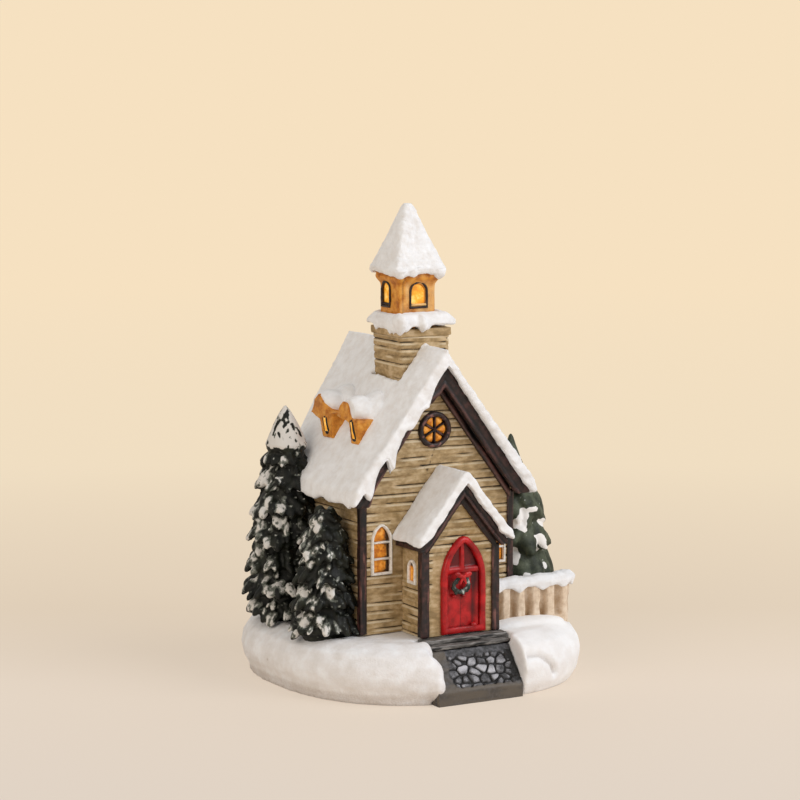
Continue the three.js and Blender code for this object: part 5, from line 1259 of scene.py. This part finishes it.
# The wreath is open at its top right; its leaves lie in two rounds
wreath_low, wreath_high = box("wreath")
wreath_x, wreath_y, wreath_z = (wreath_low + wreath_high) / 2
leaves = []
for k in range(64):
    a = radians(118 + 304 * (k % 32) / 31) + 0.06 * random.normal()
    r = 2.5 + 0.3 * random.normal()
    at = (wreath_x + r * cos(a), wreath_y + 0.1 - 0.5 * random.random(), wreath_z + 0.8 * r * sin(a))
    turned = a + pi / 2 + 0.6 * random.normal()
    leaves.append(ball(at, (0.85, 0.42, 0.5), (cos(turned), -0.2, 0.8 * sin(turned)), 2, 0.3))
uneven_piece("wreath_leaves", remeshed(merged("wreath", leaves), 0.18), None,
             lambda p: {"snow": 0.42 + 0.4 * noise(p, 0.9, 130)}, WREATH, "wreath")
# The bow's loops, knot and tails: place from its middle, radii and the way the first of them lies
BOW = [((-1.6, 0, 1.5), (1.4, 0.45, 0.8), (-1, 0, 0.4)), ((1.5, 0, 1.4), (1.35, 0.45, 0.8), (1, 0, 0.35)),
       ((0, -0.05, 0.8), (0.75, 0.5, 0.7), None), ((-0.6, 0, -0.3), (1.3, 0.35, 0.4), (-0.4, 0, -1)),
       ((0.6, 0, -0.3), (1.2, 0.35, 0.4), (0.4, 0, -1))]
bow_low, bow_high = box("wreath_bow")
bow_parts = [ball((bow_low + bow_high) / 2 + place, radii, axis) for place, radii, axis in BOW]
uneven_piece("wreath_bow_round", remeshed(merged("bow", bow_parts), 0.16), (0.12, 0.8, 131),
             lambda p: {"groove": 0.0, "deep": 0.12}, RED, "wreath_bow")


# Path and steps

KERB = 4.0
PATH_TOP = 14.2
RAMP_TURN = -40.2


def stones(x, y, size=3.1):
    """Cobbles: how high they stand, and a number for each"""
    gx, gy = x / size, y / (size * 0.78)
    cx, cy = np.floor(gx).astype(np.int64), np.floor(gy).astype(np.int64)
    first = np.full(x.shape, 9.0)
    second = np.full(x.shape, 9.0)
    tint = np.zeros(x.shape)
    for dx, dy in itertools.product((-2, -1, 0, 1, 2), repeat=2):
        cell = np.stack([cx + dx, cy + dy, cx * 0], -1)
        d = np.hypot(gx - (cx + dx + 0.1 + 0.8 * lattice(cell, 141)),
                     gy - (cy + dy + 0.1 + 0.8 * lattice(cell, 142)))
        nearer = d < first
        second = np.where(nearer, first, np.minimum(second, d))
        tint = np.where(nearer, lattice(cell, 143), tint)
        first = np.minimum(first, d)
    return ease(0.3, 0.85, (second - first) * size), tint


path_low, path_high = box("stone_path")
across = np.linspace(path_low[0], path_high[0], 110)
kerb_rows = [(path_low[1], z) for z in np.linspace(0.2, KERB - 0.3, 9)]
ramp_rows = [(y, KERB + (y - path_low[1]) * (PATH_TOP - KERB) / 8.2) for y in
             np.linspace(path_low[1] + 0.3, RAMP_TURN, 56)]
flat_rows = [(y, PATH_TOP) for y in np.linspace(RAMP_TURN + 0.2, path_high[1], 8)]
rows = np.array(kerb_rows + ramp_rows + flat_rows)
px = np.tile(across, len(rows))
py, pz = np.repeat(rows, len(across), axis=0).T
place = np.stack([px, py, pz], -1)
stone, tint = stones(px + 0.5 * noise(place, 3, 145), (py - path_low[1]) * 1.6)
ramp = ease(-48.0, -47.4, py) * ease(-40.9, -41.9, py + 0.3 * noise(place, 2, 146))
plain_left = ease(-10.6, -12.2, px + 1.6 * noise(place, 4, 147))
black_right = ease(7.3, 8.6, px + 1.3 * noise(place, 1.6, 148)) * ramp
laid = ramp * (1 - plain_left) * (1 - black_right)
sink = (0.15 + 0.75 * (1 - stone) * laid - 0.2 * (tint - 0.5) * laid - 0.15 * rough(place, 1.2, 2, 144)
        - 0.35 * black_right * rough(place, 0.9, 2, 149))
behind_kerb = py > path_low[1] + 0.2
top = place + (sink * behind_kerb)[:, None] * np.array((0, 0.6, -0.8))
top[:, 1] += np.where(behind_kerb, 0, 0.1 + 0.12 * noise(place, 2.5, 150))
top = np.clip(top, (path_low[0], path_low[1], 0), (path_high[0], path_high[1], PATH_TOP))
kerb_tone = np.clip((1 - ramp) * ease(-41, -44, py) + plain_left, 0, 1)
values = {"joint": np.clip((1 - stone) * laid + black_right, 0, 1),
          "kerb": kerb_tone * (0.8 + 0.4 * noise(place, (6, 1.2, 0.9), 153)),
          # Cobbles paler, partly a random tone for each and partly a painted highlight on their raised middles
          "high": stone * laid * (0.15 + 0.55 * tint + 0.35 * noise(place, 1.6, 151))}
cobbles = plate(top.reshape(len(rows), len(across), 3), (0, 0, 1), 0.0, None, values)
slab_piece("stone_path_cobbles", [cobbles], STONE, "stone_path")


def step_shape(points, normals):
    """Streaked stone, with a painted highlight on its rounded edges"""
    streak = rough(points * np.array((0.3, 1, 1.6)), 1.4, 3, 151)
    level = normals[:, 2]
    return 0.14 * (rough(points, (4, 1.3, 1.3), 2, 152) - 0.5), {
        "joint": ease(0.1, -0.5, streak) * (0.5 + 0.5 * ease(0.6, 0.2, level)),
        "high": 0.7 * ease(0.2, 0.6, level) * ease(0.9, 0.5, level) + 0.45 * streak}


for name in ("lower_step", "upper_step"):
    sculpt(name + "_worked", name, 0.34, step_shape, STEP, relax=3)


# Fence

SLAT_PITCH = 5.2
FENCE_Y = -26.2
TURN_X, TURN_RADIUS = 35, 6.5


def fence_mesh():
    """Pale slats with hollows between them, along a line that turns back at its end"""
    low, high = box("fence_panel")
    line = [(x, FENCE_Y) for x in np.linspace(11.4, TURN_X, 118)]
    for a in np.radians(np.linspace(-90, -28, 40))[1:]:
        line.append((TURN_X + TURN_RADIUS * cos(a), FENCE_Y + TURN_RADIUS * (1 + sin(a))))
    line = np.array(line)
    along = np.concatenate([[0], np.cumsum(np.linalg.norm(np.diff(line, axis=0), axis=1))])
    tangent = unit(np.gradient(line, axis=0))
    out = np.stack([tangent[:, 1], -tangent[:, 0]], -1)
    phase = (along - 0.7) / SLAT_PITCH
    part = np.abs(phase - np.round(phase)) * SLAT_PITCH
    front, groove = [], []
    for z in np.linspace(low[2], high[2], 34):
        where = np.stack([along, np.full_like(along, z), along * 0], -1)
        ridge = ease(2.1, 0.9, part + 0.3 * noise(where, 3, 162))
        foot = ease(GROUND, GROUND + 0.8, z)
        reach = foot * (-0.1 + 1.35 * ridge - 0.35 * ease(1.6, 2.6, part)) + (1 - foot) * 0.9
        reach = reach + 0.12 * noise(where, 2.5, 161)
        front.append(np.column_stack([line + out * reach[:, None], where[:, 1]]))
        # Painted shade in the hollows between the slats, deeper towards the foot
        groove.append((1 - ridge) * foot * (0.85 - 0.06 * (z - GROUND) + 0.3 * noise(where, 2.5, 163)))
    back = [np.column_stack([line - out * 1.5, np.full(len(line), z)]) for z in (high[2], low[2])]
    tube = np.array(front + back)
    n, m = len(tube), len(line)
    faces = [[i * m + k, i * m + k + 1, ((i + 1) % n) * m + k + 1, ((i + 1) % n) * m + k]
             for i in range(n) for k in range(m - 1)]
    faces += [[i * m for i in range(n)][::-1], [i * m + m - 1 for i in range(n)]]
    return tidy(mesh_of("fence", tube.reshape(-1, 3), faces,
                        groove=np.concatenate([np.array(groove).ravel(), np.zeros(2 * m)])))


show("fence_balusters", fence_mesh(), BEIGE, "fence_panel")


# Trees

TALL_AXIS, SHORT_AXIS, RIGHT_AXIS = (-34.5, 12.9), (-35.4, -12.6), (29.8, -9.2)
# Tiers of each tree from the ground up: the height of its edge over the ground, and its radius
TALL = [(1.0, 12), (7.6, 13.4), (15.8, 12.5), (24.3, 12.0), (32.4, 10.8), (39.6, 9.6), (46.6, 7.8)]
SHORT = [(0.4, 10.8), (8.4, 10.4), (15.6, 9.6), (22.4, 8.4), (28.0, 7.0), (33.0, 5.2)]
RIGHT = [(2, 12.6), (11, 13.4), (20.5, 12.2), (29.0, 10.2), (37.0, 7.4)]
# The tall tree's white tip: z and radius
TIP = [(66.5, 4.0), (67.2, 6.0), (69.0, 6.3), (72.0, 5.0), (75.0, 3.6), (78.0, 2.0), (79.8, 0.9), (80.5, 0.3)]
# Snow on the right tree's near side: the angle in degrees, the height, and half its width and height
PATCHES = [(-101, 45.2, 2.3, 3.1), (-73, 48.3, 2.0, 0.9), (-65, 38.0, 2.6, 2.8), (-46, 43.6, 1.9, 1.6),
           (-114, 35.0, 1.6, 2.4), (-97, 27.6, 1.5, 2.6), (-52, 31.0, 1.3, 1.2)]


def knobs_of(axis, tip, tiers, rows, spacing, long, wide, rnd):
    """Hanging ends of boughs in rows on each tier: their centre, axis, radii, angle and height"""
    made = []
    tallest = max(r for _, r in tiers)
    for i, (h, r) in enumerate(tiers):
        next_h, next_r = tiers[i + 1] if i + 1 < len(tiers) else (tip - GROUND - 1, 1.5)
        for row, (lift, share) in enumerate(rows):
            reach = 0.95 * r + (0.78 * next_r - 0.95 * r) * lift if row else r + (next_r - r) * lift * 0.9
            count = max(5, round(2 * pi * reach / (spacing * (0.6 + 0.4 * reach / tallest))))
            for k in range(count):
                if row and rnd.random() < 0.12:
                    continue
                a = 2 * pi * (k + 0.5 * row + 0.5 * rnd.random()) / count + i
                size = share * (0.62 + 0.38 * reach / tallest) * (0.75 + 0.5 * rnd.random())
                out = np.array((cos(a), sin(a), -0.8 - 0.7 * rnd.random()))
                out[:2] += 0.45 * rnd.normal() * np.array((-sin(a), cos(a)))
                far = reach - long * size * 0.62
                z = GROUND + h + lift * (next_h - h) + 0.9 * rnd.normal() + long * size * 0.4
                centre = np.array((axis[0] + far * cos(a), axis[1] + far * sin(a), z))
                wide_here = wide * size * (0.85 + 0.3 * rnd.random())
                made.append((centre, unit(out), long * size, wide_here, a, (z - GROUND) / (tip - GROUND)))
    return made


def tree(name, node, axis, tip, tiers, sizes, voxel, finish, seed, snowy, keep_off, more=(), mark=None,
         rows=((0.0, 1.0), (0.38, 0.86), (0.7, 0.62)), brush=0.35, taper=0.1):
    """Tiers of hanging boughs round a core; snow lies in dabs on some of them"""
    rnd = np.random.default_rng(seed)
    low = solid_of(node)[0]
    stem = np.linalg.norm(low[low[:, 2] < 15][:, :2] - axis, axis=1).max()
    profile = [(low[:, 2].min(), stem), (GROUND + max(tiers[0][0] - 1.2, 0.2), stem)]
    for h, r in tiers:
        profile += [(GROUND + h - 0.4, 0.66 * r), (GROUND + h + 0.8, 0.82 * r)]
    profile += [(tip - 1.2, 0.9), (tip - 0.3, 0.25)]
    tufts = knobs_of(axis, tip, tiers, rows, *sizes, rnd)
    detail = 2
    balls = [ball(c, (long, wide, wide * 0.8), out, detail, taper) for c, out, long, wide, _, _ in tufts]
    mesh = remeshed(merged(name, [revolved(axis, profile), *balls, *more]), voxel, 1)
    points = points_of(mesh)
    normals = normals_of(mesh)
    fold = rough(points, (2.6, 2.6, 4.5), 2, seed + 3)
    snow = np.full(len(points), -1.0)
    ragged = 0.3 * noise(points, 1.0, seed + 6)
    for centre, out, long, wide, a, high in tufts:
        if rnd.random() > snowy(a, high):
            continue
        near = np.flatnonzero(np.abs(points - centre).max(1) < 1.3 * long)
        q = points[near] - centre
        up = unit(UP - out * out[2])
        ahead, beside, above = q @ out, q @ np.cross(out, up), q @ up
        scaled = np.stack([ahead / long, beside / wide, above / (wide * 0.8)], -1)
        reach = np.linalg.norm(scaled, axis=1)
        kind = rnd.random()
        tilt = unit(np.array((0.5 + 0.9 * rnd.normal(), 0.9 * rnd.normal(), 1.0)))
        facing = scaled @ tilt / np.maximum(reach, 0.2)
        start = 0.05 if kind < 0.3 else 0.5 if kind < 0.8 else 0.72
        lie = np.minimum(facing - start, 1.2 - reach) + ragged[near]
        if kind > 0.6:
            lie = np.minimum(lie, 0.5 + start - facing)
        streaks = noise(np.stack([ahead * 0.4, beside, above], -1) + 50 * a, 0.55, seed + 8)
        snow[near] = np.maximum(snow[near], np.minimum(lie, 0.4) - brush * ease(0.0, 0.8, streaks))
    speck = rough(points, (1.1, 1.1, 0.8), 2, seed + 7)
    snow = 0.42 + 0.8 * np.maximum(snow, 1.2 * (speck - 0.66 + 0.2 * np.clip(normals[:, 2], 0, 1)))
    if mark is not None:
        snow = mark(points, normals, snow)
    points = points + normals * (0.3 * fold - 0.2 + 0.16 * ease(0.4, 0.6, snow))[:, None]
    points[:, 0] = keep_off(points)
    set_points(mesh, np.clip(points, CAD_LOW, CAD_HIGH))
    put(mesh, {"snow": np.clip(snow, 0, 1), "leaf": 0.5 + 0.6 * fold})
    return show(name, mesh, finish, node)


def off_left_wall(points):
    x, y, z = points.T
    beside = (y > -22.6) & (y < 19.6) & (z < 56)
    return np.where(beside, np.minimum(x, LEFT_WALL_X - 0.25), x)


def off_right_wall(points):
    return np.maximum(points[:, 0], RIGHT_WALL_X + 0.35)


def towards(angle, least, most, power):
    """How much snow lies on a bough: most where it points at an angle in degrees"""
    return lambda a, high: least + (most - least) * max(0.0, cos(a - radians(angle))) ** power


def white_tip(points, normals, snow):
    """The top is one pale cone, streaked and specked, with a torn lower edge"""
    edge = 68.4 + 1.3 * noise(points, (1.6, 1.6, 6), 211)
    cap = ease(edge - 0.3, edge + 0.3, points[:, 2])
    streak = ease(0.2, 0.8, noise(points, (0.7, 0.7, 4), 213))
    speck = ease(0.15, 0.4, rough(points, (1.1, 1.1, 2.6), 2, 212))
    return np.maximum(snow * (1 - cap), cap * (0.72 - 0.25 * streak - 0.8 * speck))


def patches(points, normals, snow):
    """Snow caught on separate lobes"""
    x, y = points[:, 0] - RIGHT_AXIS[0], points[:, 1] - RIGHT_AXIS[1]
    turn, reach = np.degrees(np.arctan2(y, x)), np.hypot(x, y)
    torn = 0.45 * noise(points, 1.5, 214)
    not_under = ease(-0.75, -0.35, normals[:, 2])
    for angle, z, wide, high in PATCHES:
        d = np.hypot(np.radians(turn - angle) * reach / wide, (points[:, 2] - z) / high)
        snow = np.maximum(snow, ease(1.15, 0.75, d + torn) * not_under)
    return snow


tree("tall_tree_tufts", "tall_tree", TALL_AXIS, 78.0, TALL, (4.0, 3.0, 1.75), 0.42, TREE, 5,
     towards(195, 0.05, 0.85, 1.6), off_left_wall, [revolved(TALL_AXIS, TIP)], white_tip)
tree("short_tree_tufts", "short_tree", SHORT_AXIS, 53.0, SHORT, (3.9, 2.8, 1.7), 0.4, TREE, 8,
     towards(208, 0.0, 0.85, 2.0), off_left_wall, [ball((-34.9, -13.0, 49.4), (3.9, 3.9, 3.9), None, 3)])
tree("right_tree_tufts", "right_tree", RIGHT_AXIS, 70.7, RIGHT, (6.6, 6.6, 3.9), 0.48, SAGE, 11,
     lambda a, high: 0.35 * (cos(a + radians(75)) < 0.3), off_right_wall, mark=patches,
     rows=((0.0, 1.0), (0.5, 0.7)), brush=0.1, taper=0.45)


# Light unit and what shows inside

for (material, _), nodes in ((PLASTIC, ("battery_tray", "battery_lid", "switch_slider")),
                             (STEEL, ("lid_screw", "button_cell_1", "button_cell_2", "button_cell_3")),
                             (BRASS, ("contact_spring", "contact_plate")), (BOARD_GREEN, ("led_board",)),
                             (LENS, ("led",)), (AMBER, ("front_glow_sheet",))):
    for node_name in nodes:
        NODES[node_name].material_slots[0].material = material

low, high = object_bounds()
{"cad": [list(cad_low), list(cad_high)], "visual": [list(low), list(high)]}
